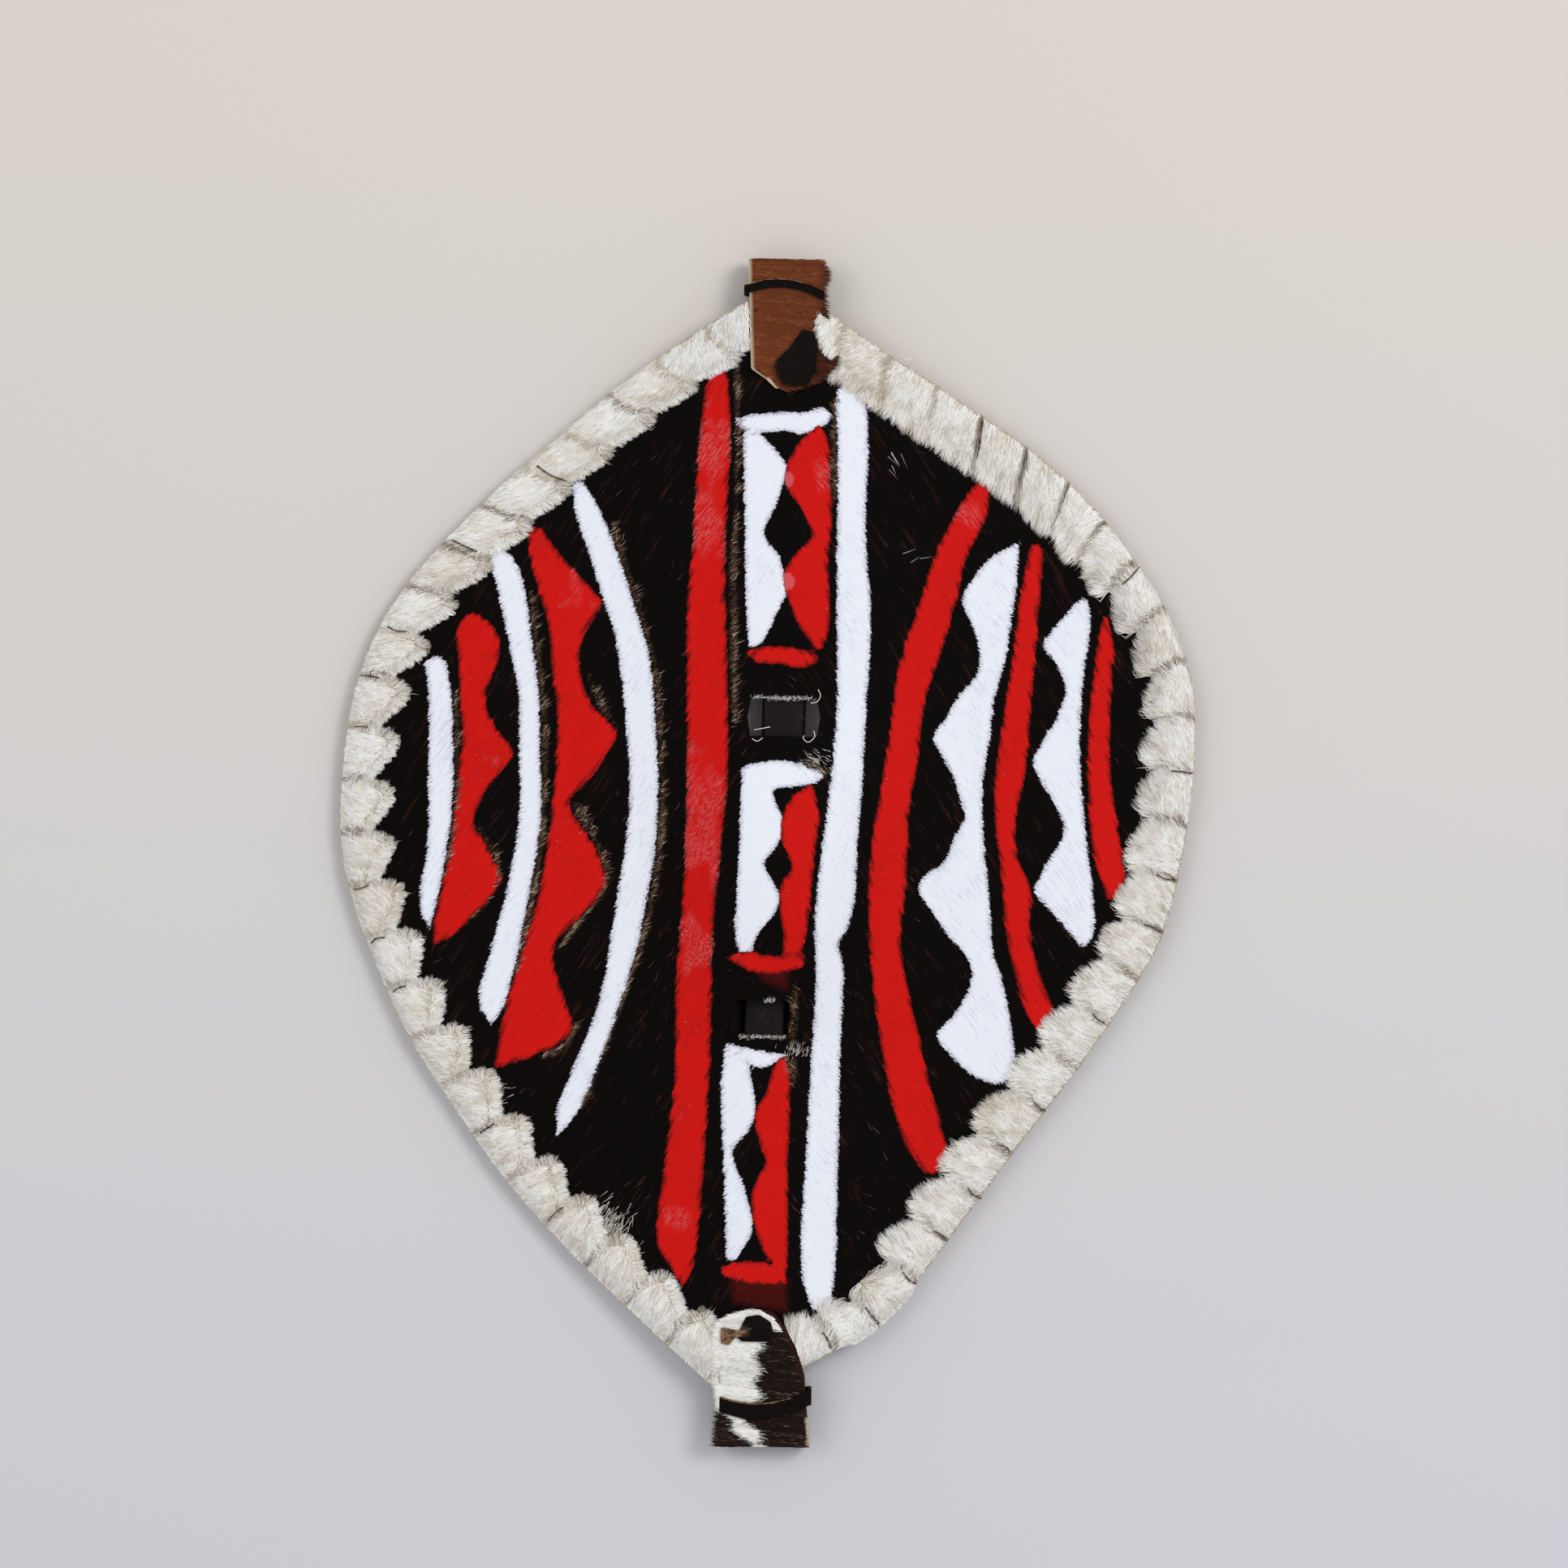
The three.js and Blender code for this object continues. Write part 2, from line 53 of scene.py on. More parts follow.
# ---- sizes of the solids, in millimetres ---------------------------------------------------
# X across, Y along the stave towards the top, Z out of the painted face, from the long axis.

AXIS_X = 3.44  # the long axis stands this far right of the middle of the box
LIFT = -0.2  # and the solids are set down by this much
MM = 0.001

HIDE = 3.2
PANEL_TOP, PANEL_BOTTOM = 271, -256
EDGE_IN = 5
RIM_MID, RIDGE_MID = 7.3, 17.3
RIDGE_FALL, FALL_POWER = 110, 1.8
GRIP_MIDDLE, GRIP_REACH, GRIP_RISE, GRIP_FLAT, GRIP_FADE = -8, 85, 16, 12, 60
TURNS = 26
TOOTH_OUT = {"left": 27, "right": 26.5}
END = 300
STRIP = 2
GAP = 0.3
STAVE_WIDE, STAVE_THICK, STAVE_UNDER, STAVE_END = 22, 11, 4.4, 293.6
OVER_HIDE = RIDGE_MID + HIDE / 2 + GAP + STRIP / 2
OVER_STAVE = STAVE_UNDER + STAVE_THICK + GAP + STRIP / 2
BEHIND = STAVE_UNDER - GAP - STRIP / 2

SIGN = {"left": -1, "right": 1}
OUTLINE = {
    "left": [(14, 284), (60, 254), (100, 222), (130, 195), (160, 165), (181, 142), (200, 114),
             (213, 80), (219, 40), (219, 0), (212, -31), (200, -62), (182, -98), (160, -131),
             (131, -170), (98, -205), (60, -240), (24, -272), (10, -284)],
    "right": [(14, 281), (50, 257), (90, 232), (130, 205), (160, 178), (181, 150), (200, 117),
              (211, 85), (213, 55), (210, 20), (205, -12), (196, -44), (180, -72), (158, -105),
              (132, -140), (103, -180), (74, -219), (52, -241), (10, -266)],
}
RIDGE_CENTRE = [(-262, -4), (-200, -8), (-105, -8), (-55, -4.5), (0, 0.5), (40, 2.5), (120, 3),
                (200, 1.5), (277, -1)]
RIDGE_HALF = [(-262, 17.5), (-200, 17.5), (-60, 19), (40, 20.5), (200, 23), (277, 23)]
STAVE_CENTRE = [(-300, -2), (-200, -5), (-83, -4.7), (0, 0), (68, 2.75), (200, 0.5), (300, -1)]
LEAN = {"left": [(-300, 0), (-100, 0), (60, -3), (140, -8), (300, -9)],
        "right": [(-300, 0), (60, 0), (150, 6), (200, 11), (300, 11)]}
NOTCH = {"left": [(0, 5), (0.25, 5), (0.38, 13), (0.62, 13), (0.8, 11), (1, 9)],
         "right": [(0, 3), (0.2, 3), (0.3, 10), (0.42, 11), (0.5, 8), (0.62, 11), (0.85, 12),
                   (1, 9)]}
WINDOWS = [dict(left=-14, right=19.5, bottom=59, top=78),
           dict(left=-19, right=9.6, bottom=-93, top=-74)]

TOP_FLAP = [(-18.6, 300), (16, 299.5), (19, 293), (16.8, 284), (18, 277), (19.5, 262), (22, 255),
            (24, 247.5), (17, 239.5), (4, 235), (-2, 234), (-9, 240.5), (-16.5, 245.5)]
BOTTOM_FLAP = [(-24, -239), (-20, -234.5), (-12, -231), (-4, -230), (3, -233.5), (8, -240),
               (13, -249), (16, -258), (18.5, -266), (19.5, -280), (21.5, -299.5), (-24, -300),
               (-22.3, -285), (-22, -274), (-24, -262), (-25, -250)]
TOP_THONG = [(9, 264), (15.5, 262.5), (16, 246), (12, 239), (4, 238), (-1, 241), (-3, 249),
             (3, 255)]
BOTTOM_THONG = [(-24, -239), (-15, -240.5), (-11.5, -233.5), (-5, -232.3), (1, -236),
                (2.5, -242), (-1, -246), (-13.5, -246), (-16.5, -243.5), (-20, -248),
                (-24, -247)]
TOP_TIE = dict(left=-19.9, right=19, wide=4.5, thick=1.6, ends=(284.2, 281.8), peak=287.4)
BOTTOM_TIE = dict(left=-23.6, right=21.3, wide=8, thick=1.6, ends=(-278.4, -274), peak=-281)


def srgb(red, green, blue):
    """A colour given as it looks on a screen, 0 to 255, as the plain light values Blender wants."""
    def plain(v):
        v /= 255
        return v / 12.92 if v <= 0.04045 else ((v + 0.055) / 1.055) ** 2.4
    return plain(red), plain(green), plain(blue)


# ---- what a user may change ----------------------------------------------------------------

def colour(name, description, *value):
    return FloatVectorProperty(name=name, description=description, subtype="COLOR", size=3,
                               min=0, max=1, default=srgb(*value))


def length(name, description, millimetres):
    return FloatProperty(name=name, description=description, unit="LENGTH", min=0,
                         default=millimetres * MM)


class ShieldColours(bpy.types.PropertyGroup):
    hide_black: colour("Black hide", "Hair of the panel", 8, 4, 4)
    # Brown strands in the black hair; on the panel this brown also stands for the painted sheen of
    # the lying hair.
    hide_brown: colour("Brown strands", "Sun-bleached strands in the black hair", 46, 22, 15)
    white: colour("White", "White stripes of the panel", 236, 238, 246)
    lilac: colour("Stripe edges", "Grey hair that shows through the edge of the white", 150, 142, 165)
    red: colour("Red", "Red stripes of the panel", 206, 22, 17)
    red_worn: colour("Worn red", "Red where it is rubbed thin over white", 212, 105, 108)
    red_dark: colour("Thin red", "Red that has soaked into black hair", 75, 14, 12)
    tan: colour("Clipped hair", "Clipped hair beside the stripes", 150, 118, 90)
    tan_dark: colour("Clipped roots", "Roots of the clipped hair", 52, 32, 24)
    fur: colour("Rim hair", "Pale hair of the binding", 245, 239, 226)
    fur_light: colour("Rim highlights", "Lightest hair of the binding", 252, 251, 248)
    # Grey hair of the binding; it also gives the painted shade at the hairs' roots, in the creases
    # between turns and on the skin under the hair.
    fur_grey_and_shade: colour("Rim shade", "Greyed hair and roots of the binding", 190, 178, 160)
    fur_brown: colour("Rim stains", "Rust-brown hair at the lacing holes", 128, 84, 52)
    skin: colour("Skin", "Bare skin at the edges of the strips", 196, 176, 148)
    cut_edge: colour("Cut edges", "Dark dried edge of the binding strip", 52, 34, 27)
    raw_back: colour("Flesh side", "Bare back of the panel", 150, 118, 88)
    chestnut: colour("Chestnut", "Hair of the top flap", 116, 58, 29)
    chestnut_light: colour("Chestnut highlights", "Light hair of the top flap", 184, 110, 64)
    chestnut_dark: colour("Chestnut shade", "Dark hair of the top flap", 46, 21, 11)
    thong: colour("Thong", "Dark cut hide of the ties", 13, 8, 7)
    wood: colour("Wood", "Dark polished stave", 22, 13, 10)
    # The floor's two colours are painted light: warm light towards the top of the shield, cool light
    # below it.
    floor_warm_light: colour("Warm floor", "Studio floor beyond the top of the shield", 219, 212, 203)
    floor_cool_light: colour("Cool floor", "Studio floor below the shield", 210, 209, 214)


class ShieldSizes(bpy.types.PropertyGroup):
    cell: length("Panel cell", "Size of the panel's mesh cells", 2.6)
    fur_length: length("Rim hair length", "Length of the binding's hair", 9)
    fur_width: length("Rim hair width", "Width of one hair blade at its root", 0.36)
    fur_front: IntProperty(name="Front hairs", description="Hairs on each binding's front",
                           default=78000, min=100)
    fur_back: IntProperty(name="Back hairs", description="Hairs on each binding's back",
                          default=20000, min=100)
    core_inset: length("Core inset", "How far the binding's skin lies under its hair tips", 1.3)


# ---- curves along the shield ---------------------------------------------------------------

class Stations:
    """A smooth value along the shield, through a few stations of (place, value)."""

    def __init__(self, rows):
        self.places, self.values = np.array(rows, float).T

    def __call__(self, place):
        places, values = self.places, self.values
        last = len(places) - 1
        place = np.clip(np.asarray(place, float), places[0], places[last])
        i = np.clip(np.searchsorted(places, place, side="right"), 1, last)
        span = places[i] - places[i - 1]
        p = (place - places[i - 1]) / span
        before = np.where(i > 1, i - 2, i)
        after = np.where(i < last, i + 1, i - 1)
        after = np.clip(after, 0, last)
        lead = span / 2 / (places[i - 1] - places[before])
        follow = span / 2 / (places[after] - places[i])
        weights = (-lead * p**3 + 2 * lead * p**2 - lead * p,
                   (1 + lead) * p**3 + (-1.5 - 2 * lead) * p**2 + (-0.5 + lead) * p + 1,
                   (-1 - follow) * p**3 + (1.5 + follow) * p**2 + 0.5 * p,
                   follow * p**3 - follow * p**2)
        corners = (values[before], values[i - 1], values[i], values[after])
        return sum(w * v for w, v in zip(weights, corners))


def smooth_line(points, per_span=8):
    """A centripetal curve through 2-D points, as a fine polyline."""
    points = np.array(points, float)
    ends = 2 * points[0] - points[1], 2 * points[-1] - points[-2]
    padded = np.vstack([ends[0], points, ends[1]])
    s = np.linspace(0, 1, per_span, endpoint=False)[:, None]
    rows = []
    for a, b, c, d in zip(padded, padded[1:], padded[2:], padded[3:]):
        ab, bc, cd = (max(np.hypot(*(q - p)), 1e-9) ** 0.5 for p, q in ((a, b), (b, c), (c, d)))
        leave = ((b - a) / ab - (c - a) / (ab + bc) + (c - b) / bc) * bc
        arrive = ((c - b) / bc - (d - b) / (bc + cd) + (d - c) / cd) * bc
        rows.append(b + leave * s + (3 * (c - b) - 2 * leave - arrive) * s**2
                    + (2 * (b - c) + leave + arrive) * s**3)
    return np.vstack(rows + [points[-1:]])


ridge_centre = Stations(RIDGE_CENTRE)
ridge_half = Stations(RIDGE_HALF)
stave_centre = Stations(STAVE_CENTRE)
lean = {side: Stations(rows) for side, rows in LEAN.items()}
notch = {side: Stations(rows) for side, rows in NOTCH.items()}


class Rim:
    """The outline of one side, from the top end down."""

    def __init__(self, side):
        self.sign = SIGN[side]
        self.line = smooth_line([(self.sign * x, y) for x, y in OUTLINE[side]], 60)
        steps = np.hypot(*np.diff(self.line, axis=0).T)
        self.share = np.concatenate([[0], np.cumsum(steps)])
        self.length = self.share[-1]
        self.share /= self.length
        slope = np.gradient(self.line, self.share * self.length, axis=0)
        self.tangents = slope / np.linalg.norm(slope, axis=1)[:, None]

    def point(self, t, inward):
        """Plan places at shares t of the rim, this far in from the outline."""
        t = np.clip(t, 0, 1)
        x, y = (np.interp(t, self.share, self.line[:, k]) for k in (0, 1))
        tx, ty = self.tangent(t)
        return x + self.sign * ty * inward, y - self.sign * tx * inward

    def tangent(self, t):
        return (np.interp(np.clip(t, 0, 1), self.share, self.tangents[:, k]) for k in (0, 1))


rim = {side: Rim(side) for side in SIGN}
EDGE_ROWS = {}
for edge_side in SIGN:
    edge_x, edge_y = rim[edge_side].point(np.linspace(0, 1, 400), EDGE_IN)
    edge_order = np.argsort(edge_y)
    EDGE_ROWS[edge_side] = edge_y[edge_order], np.abs(edge_x[edge_order])


def edge_at(side, y):
    """Distance of the panel's edge from the axis, at a place along it."""
    return np.interp(y, *EDGE_ROWS[side])


def smooth_step(low, high, value):
    p = np.clip((value - low) / (high - low), 0, 1)
    return p * p * (3 - 2 * p)


def hide_height(x, y):
    """Height of the middle of the panel's hide."""
    middle = ridge_centre(y)
    room = np.minimum(edge_at("right", y) - middle, edge_at("left", y) + middle)
    half = np.minimum(ridge_half(y), 0.85 * room)
    across = np.abs(x - middle)
    slope = np.maximum(0, 1 - np.maximum(0, across - half) / RIDGE_FALL) ** FALL_POWER
    along = np.cos(math.pi / 2 * np.minimum(1, np.abs(y - GRIP_MIDDLE) / GRIP_REACH))
    side = smooth_step(-GRIP_FLAT - GRIP_FADE, -GRIP_FLAT, -across)
    return RIM_MID + (RIDGE_MID - RIM_MID) * slope + GRIP_RISE * along * side


# ---- the painted pattern -------------------------------------------------------------------
# Each stripe is the area between a left and a right edge, given as (y, x) from the top down.

def stripe(left, right):
    """The closed outline between a left and a right edge, each smoothed."""
    edges = [smooth_line([(x, y) for y, x in edge], 4) for edge in (left, right)]
    return np.vstack([edges[0], edges[1][::-1]])


def bar(upper, lower):
    """The closed outline between an upper and a lower edge, given as (x, y)."""
    edges = [smooth_line(edge, 4) for edge in (upper, lower)]
    return np.vstack([edges[0], edges[1][::-1]])


WHITE_STRIPES = [
    stripe([(187, -106), (170, -104), (150, -97), (130, -90.5), (110, -83.5), (90, -80),
            (50, -75.5), (30, -74.5), (10, -75.5), (-30, -81), (-70, -87), (-90, -93),
            (-110, -101), (-130, -108.5), (-145, -109)],
           [(187, -102), (181, -97), (160, -86.5), (140, -79), (120, -72.5), (100, -66),
            (70, -62.5), (30, -60), (0, -61.5), (-30, -66), (-50, -70), (-70, -75.5),
            (-90, -82), (-110, -89), (-130, -97), (-140, -104), (-145, -109)]),
    stripe([(151, -146), (145, -147), (135, -144), (120, -140.5), (100, -136), (80, -131.5),
            (50, -131), (20, -130), (-20, -136), (-60, -146), (-70, -149), (-80, -148.5),
            (-89, -143)],
           [(151, -139), (145, -134), (135, -130), (110, -126), (80, -121.5), (50, -120.5),
            (20, -119), (0, -121), (-40, -127.5), (-80, -137), (-89, -143)]),
    stripe([(97, -174), (94, -179), (80, -177), (40, -176.5), (0, -176.5), (-30, -180),
            (-41, -175)],
           [(97, -172), (94, -169), (80, -166), (60, -164.5), (20, -164.5), (-10, -168),
            (-30, -172), (-41, -175)]),
    stripe([(237, 30), (233, 27), (200, 28), (120, 28.5), (80, 29.5), (50, 28), (20, 25),
            (-15, 21), (-40, 20), (-60, 21), (-100, 19.5), (-160, 17), (-200, 15.5),
            (-220, 18), (-230, 22)],
           [(237, 37), (230, 41), (200, 43), (160, 42.5), (120, 46), (80, 44.5), (40, 43),
            (0, 40.5), (-25, 39.5), (-38, 36), (-45, 32), (-55, 34.5), (-100, 34),
            (-160, 33.5), (-210, 33), (-224, 31), (-230, 27)]),
    stripe([(159, 119), (150, 105), (140, 97), (131, 92), (120, 95.5), (110, 100), (97, 101),
            (90, 99), (80, 90), (70, 85), (60, 78), (50, 83.5), (40, 88.5), (30, 92),
            (19, 95), (10, 90), (0, 86.5), (-5, 83), (-10, 75.5), (-17, 72), (-30, 80),
            (-40, 87), (-50, 96), (-60, 100), (-70, 97), (-80, 91.5), (-90, 82.5),
            (-100, 89), (-110, 100), (-115, 112)],
           [(159, 121), (140, 119.5), (120, 117), (100, 114.5), (80, 109), (60, 107), (40, 104),
            (20, 104), (0, 105.5), (-20, 108), (-50, 111), (-60, 114.5), (-80, 119),
            (-100, 122), (-110, 121.5), (-115, 115)]),
    stripe([(131, 152), (120, 142), (107, 133.5), (100, 138.5), (90, 144), (84, 145),
            (70, 140.5), (60, 134.5), (48, 129), (40, 132.5), (30, 138.5), (20, 143.5),
            (12, 145.5), (0, 138.5), (-10, 133.5), (-16, 130.5), (-25, 137), (-35, 146.5),
            (-45, 155)],
           [(131, 155), (120, 157), (100, 155), (80, 153), (50, 153), (10, 156.5),
            (-38, 161.5), (-45, 157)]),
    bar([(-24, 219), (-15, 221), (0, 222.5), (10, 222.5), (20, 225), (25, 222)],
        [(-24, 216), (-20, 214), (-10, 212), (0, 213), (10, 211.5), (21, 216), (25, 220)]),
    stripe([(212, -20), (180, -19), (150, -18), (120, -17), (104, -15.5)],
           [(212, -12), (205, -5), (195, 2.5), (186, 0.5), (175, -3), (165, -8), (160, -8.5),
            (150, -1), (140, 2), (131, 3.5), (125, 0), (115, -4), (107, -8), (104, -11)]),
    bar([(-18, 43), (-10, 45.5), (0, 47), (10, 45.5), (20, 42), (23, 39.5)],
        [(-18, 34), (-3, 32), (5, 33.5), (15, 34.5), (22, 37)]),
    stripe([(37, -18), (10, -18.5), (-20, -19.5), (-40, -20), (-50, -18)],
           [(37, -4), (34, -3), (25, -0.5), (18, 3), (8, 2), (0, -2.5), (-5, -6), (-15, -1),
            (-21, 2), (-30, 0), (-40, -8), (-50, -12)]),
    bar([(-24, -96), (-15, -98), (0, -100.5), (7, -101)],
        [(-24, -100), (-13, -106), (-5, -108.5), (2, -105), (7, -102)]),
    stripe([(-98, -24.5), (-120, -26), (-140, -25), (-170, -23.5), (-205, -22)],
           [(-104, -13), (-120, -9.5), (-132, -8.5), (-140, -12), (-150, -20), (-160, -17),
            (-170, -13), (-190, -9), (-200, -14), (-205, -17)]),
]

RED_STRIPES = [
    stripe([(247, -32), (240, -37), (230, -40), (210, -42), (160, -44.5), (120, -47), (60, -46),
            (0, -46), (-40, -48), (-60, -49.5), (-120, -50), (-160, -54.5), (-190, -57.5),
            (-200, -56.5), (-210, -50), (-220, -44)],
           [(247, -31), (240, -28.5), (210, -26), (180, -27), (140, -28), (100, -26.5),
            (40, -25), (0, -28), (-40, -31), (-100, -31.5), (-140, -33), (-180, -35.5),
            (-200, -37), (-212, -40), (-220, -44)]),
    stripe([(163, -128), (150, -127.5), (130, -122), (110, -116.5), (90, -115), (70, -112),
            (40, -112.5), (10, -115), (-30, -121.5), (-50, -127.5), (-90, -138), (-111, -141.5)],
           [(163, -122), (150, -112), (140, -103), (130, -93.5), (125, -90), (118, -94),
            (110, -98.5), (95, -101), (80, -97.5), (70, -91.5), (60, -81.5), (50, -85.5),
            (40, -91.5), (30, -101), (23, -105), (10, -97), (0, -91), (-16, -85),
            (-20, -87.5), (-30, -95), (-40, -105), (-50, -111.5), (-60, -111), (-70, -107.5),
            (-80, -104), (-91, -101.5), (-98, -108), (-103, -118), (-107, -128), (-111, -139)]),
    stripe([(119, -157), (114, -162.5), (90, -162), (60, -160), (30, -162), (0, -165),
            (-20, -169), (-40, -172.5), (-49, -173)],
           [(119, -153), (110, -143), (100, -141), (90, -144), (78, -148.5), (70, -147),
            (60, -142), (48, -133.5), (40, -139), (30, -147), (15, -153), (0, -146),
            (-15, -138), (-20, -141), (-30, -148.5), (-40, -158), (-49, -171)]),
    stripe([(190, 100), (185, 95), (170, 86), (150, 77), (130, 71), (100, 61.5), (80, 58),
            (60, 56), (30, 51.5), (0, 47.5), (-30, 47), (-60, 49), (-90, 53), (-110, 57),
            (-130, 61.5), (-150, 70), (-161, 78)],
           [(190, 103), (185, 105), (170, 103), (150, 93.5), (130, 89.5), (100, 81), (80, 74.5),
            (50, 71), (20, 66.5), (-15, 66), (-40, 63.5), (-60, 66), (-80, 71), (-110, 78),
            (-130, 84), (-150, 89), (-157, 88), (-161, 82)]),
    stripe([(158, 126), (150, 124), (120, 120), (80, 115), (40, 110), (15, 110.5), (-10, 114),
            (-35, 116), (-60, 121.5), (-80, 128), (-88, 133)],
           [(158, 131), (150, 132.5), (120, 130.5), (80, 128), (40, 125), (20, 121), (0, 122),
            (-20, 130), (-35, 128.5), (-60, 134.5), (-80, 142), (-88, 136)]),
    stripe([(122, 163), (110, 161), (70, 157), (30, 157), (0, 161), (-21, 168)],
           [(122, 165), (110, 168.5), (90, 168.5), (50, 168), (10, 173.5), (-10, 177),
            (-21, 175)]),
    stripe([(216, 18), (209, 9.5), (200, 4), (190, 1), (182, 4), (174, 10), (165, 14),
            (160, 15.5), (154, 10), (145, 3), (139, 1), (128, 4), (115, 9.5), (103, 18)],
           [(216, 20), (205, 23.5), (185, 24.5), (165, 25.5), (155, 24), (130, 25), (115, 25),
            (103, 22)]),
    bar([(-17, 101), (-10, 104), (0, 104.5), (10, 103.5), (20, 100)],
        [(-17, 100), (-10, 95.5), (0, 95.5), (10, 93.5), (20, 96)]),
    stripe([(35, 15), (25, 5), (12, 2), (5, 3.5), (-7, 8), (-15, 2.5), (-30, 2.5), (-40, 4),
            (-51, 4)],
           [(35, 18), (20, 21), (0, 19.5), (-30, 17), (-51, 14)]),
    bar([(-24, -52), (-15, -49.5), (0, -51.5), (15, -50)],
        [(-24, -53.5), (-10, -60), (0, -60.5), (15, -57)]),
    stripe([(-102, 4), (-110, -1), (-120, -3), (-130, -8.5), (-140, -8), (-150, -4.5),
            (-155, -3), (-165, -7.5), (-175, -10), (-190, -7.5), (-200, -4), (-208, 2),
            (-217, 5)],
           [(-102, 7), (-120, 9), (-160, 8.5), (-205, 9), (-217, 8)]),
    bar([(-24, -209), (-15, -206), (-5, -206), (7, -209)],
        [(-24, -213), (-10, -217), (8, -217)]),
]

# Thin or soaked-in red over black hair.
THIN_RED = [
    bar([(-10, -58), (7, -56)], [(-6, -64), (7, -69)]),
    bar([(-20, -214), (9, -214)], [(-18, -227), (9, -231)]),
]
# Where a red stripe runs over a white one, and where the red is rubbed thin: (x, y, size).
OVERLAPS = [(1.8, 188.5, 5), (2.5, 137, 5.5)]
RUBBED = [(-36, 205, 20), (-36, 165, 24), (-37, 35, 18), (-38, 0, 22), (-39, -45, 18),
          (-47, -186, 10), (20, 190, 9), (12, -105, 8), (-100, 128, 12), (95, 172, 10)]

# Clipped hair beside the stripes, as lines of (x, y) with a half width.
CLIPPED = [
    ([(-24, 247), (-22.5, 200), (-24, 150), (-23, 100), (-22, 65)], 1.4),
    ([(27.5, 240), (26.5, 210), (27, 180)], 1.6),
    ([(41, 236), (43.5, 225)], 1.6),
    ([(-86, 165), (-79, 145), (-70, 118), (-63.5, 95), (-60, 60), (-58, 25), (-61, -15),
      (-69, -50), (-80, -85), (-96, -128)], 1.6),
    ([(-127, 130), (-123, 105), (-119, 70), (-118, 25), (-122, -15), (-130, -58),
      (-136, -82)], 1.5),
    ([(-164, 80), (-162.5, 45), (-163, 15), (-168, -15)], 1.2),
    ([(-101, 22), (-93, 8), (-86, -10), (-90, -24), (-101, -38), (-109, -50)], 1.8),
    ([(-100, -88), (-106, -99), (-117, -105)], 1.6),
    ([(-97, 90), (-90, 74), (-82, 62)], 1.2),
    ([(-150, 10), (-141, -8), (-146, -26), (-157, -38)], 1.2),
    ([(11, -65), (10.5, -80), (10, -95)], 1.3),
    ([(10, -105), (10, -117)], 1.8),
    ([(15.5, 51), (16.4, 44), (26, 41)], 1.0),
]


def inside_depth(x, y, outlines, reach=12.0):
    """How far inside the nearest outline each place is, in millimetres; negative outside."""
    depth = np.full(len(x), -reach)
    for outline in outlines:
        low, high = outline.min(0) - reach, outline.max(0) + reach
        near = np.nonzero((x > low[0]) & (x < high[0]) & (y > low[1]) & (y < high[1]))[0]
        if not len(near):
            continue
        px, py = x[near], y[near]
        nearest = np.full(len(near), reach**2)
        inside = np.zeros(len(near), bool)
        for (ax, ay), (bx, by) in zip(outline, np.roll(outline, -1, axis=0)):
            ex, ey = bx - ax, by - ay
            along = np.clip(((px - ax) * ex + (py - ay) * ey) / (ex * ex + ey * ey + 1e-12), 0, 1)
            nearest = np.minimum(nearest, (px - ax - along * ex)**2 + (py - ay - along * ey)**2)
            crosses = (ay > py) != (by > py)
            if crosses.any():
                inside ^= crosses & (px < ax + ex * (py - ay) / (ey if ey else 1e-12))
        signed = np.sqrt(nearest) * np.where(inside, 1, -1)
        depth[near] = np.maximum(depth[near], signed)
    return depth


def line_depth(x, y, lines, reach=12.0):
    """How far inside the nearest band round a line each place is, in millimetres."""
    depth = np.full(len(x), -reach)
    for points, half in lines:
        points = smooth_line(points, 3)
        for (ax, ay), (bx, by) in zip(points, points[1:]):
            ex, ey = bx - ax, by - ay
            along = np.clip(((x - ax) * ex + (y - ay) * ey) / (ex * ex + ey * ey), 0, 1)
            away = np.hypot(x - ax - along * ex, y - ay - along * ey)
            depth = np.maximum(depth, half - away)
    return depth


# ---- shader helpers ------------------------------------------------------------------------

class Socket:
    """One output of a node, so that a sum of textures is written as a sum."""

    def __init__(self, finish, output):
        self.finish, self.output = finish, output

    def __add__(self, other):
        return self.finish.math("ADD", self, other)

    def __radd__(self, other):
        return self.finish.math("ADD", other, self)

    def __sub__(self, other):
        return self.finish.math("SUBTRACT", self, other)

    def __rsub__(self, other):
        return self.finish.math("SUBTRACT", other, self)

    def __mul__(self, other):
        return self.finish.math("MULTIPLY", self, other)

    def __rmul__(self, other):
        return self.finish.math("MULTIPLY", other, self)


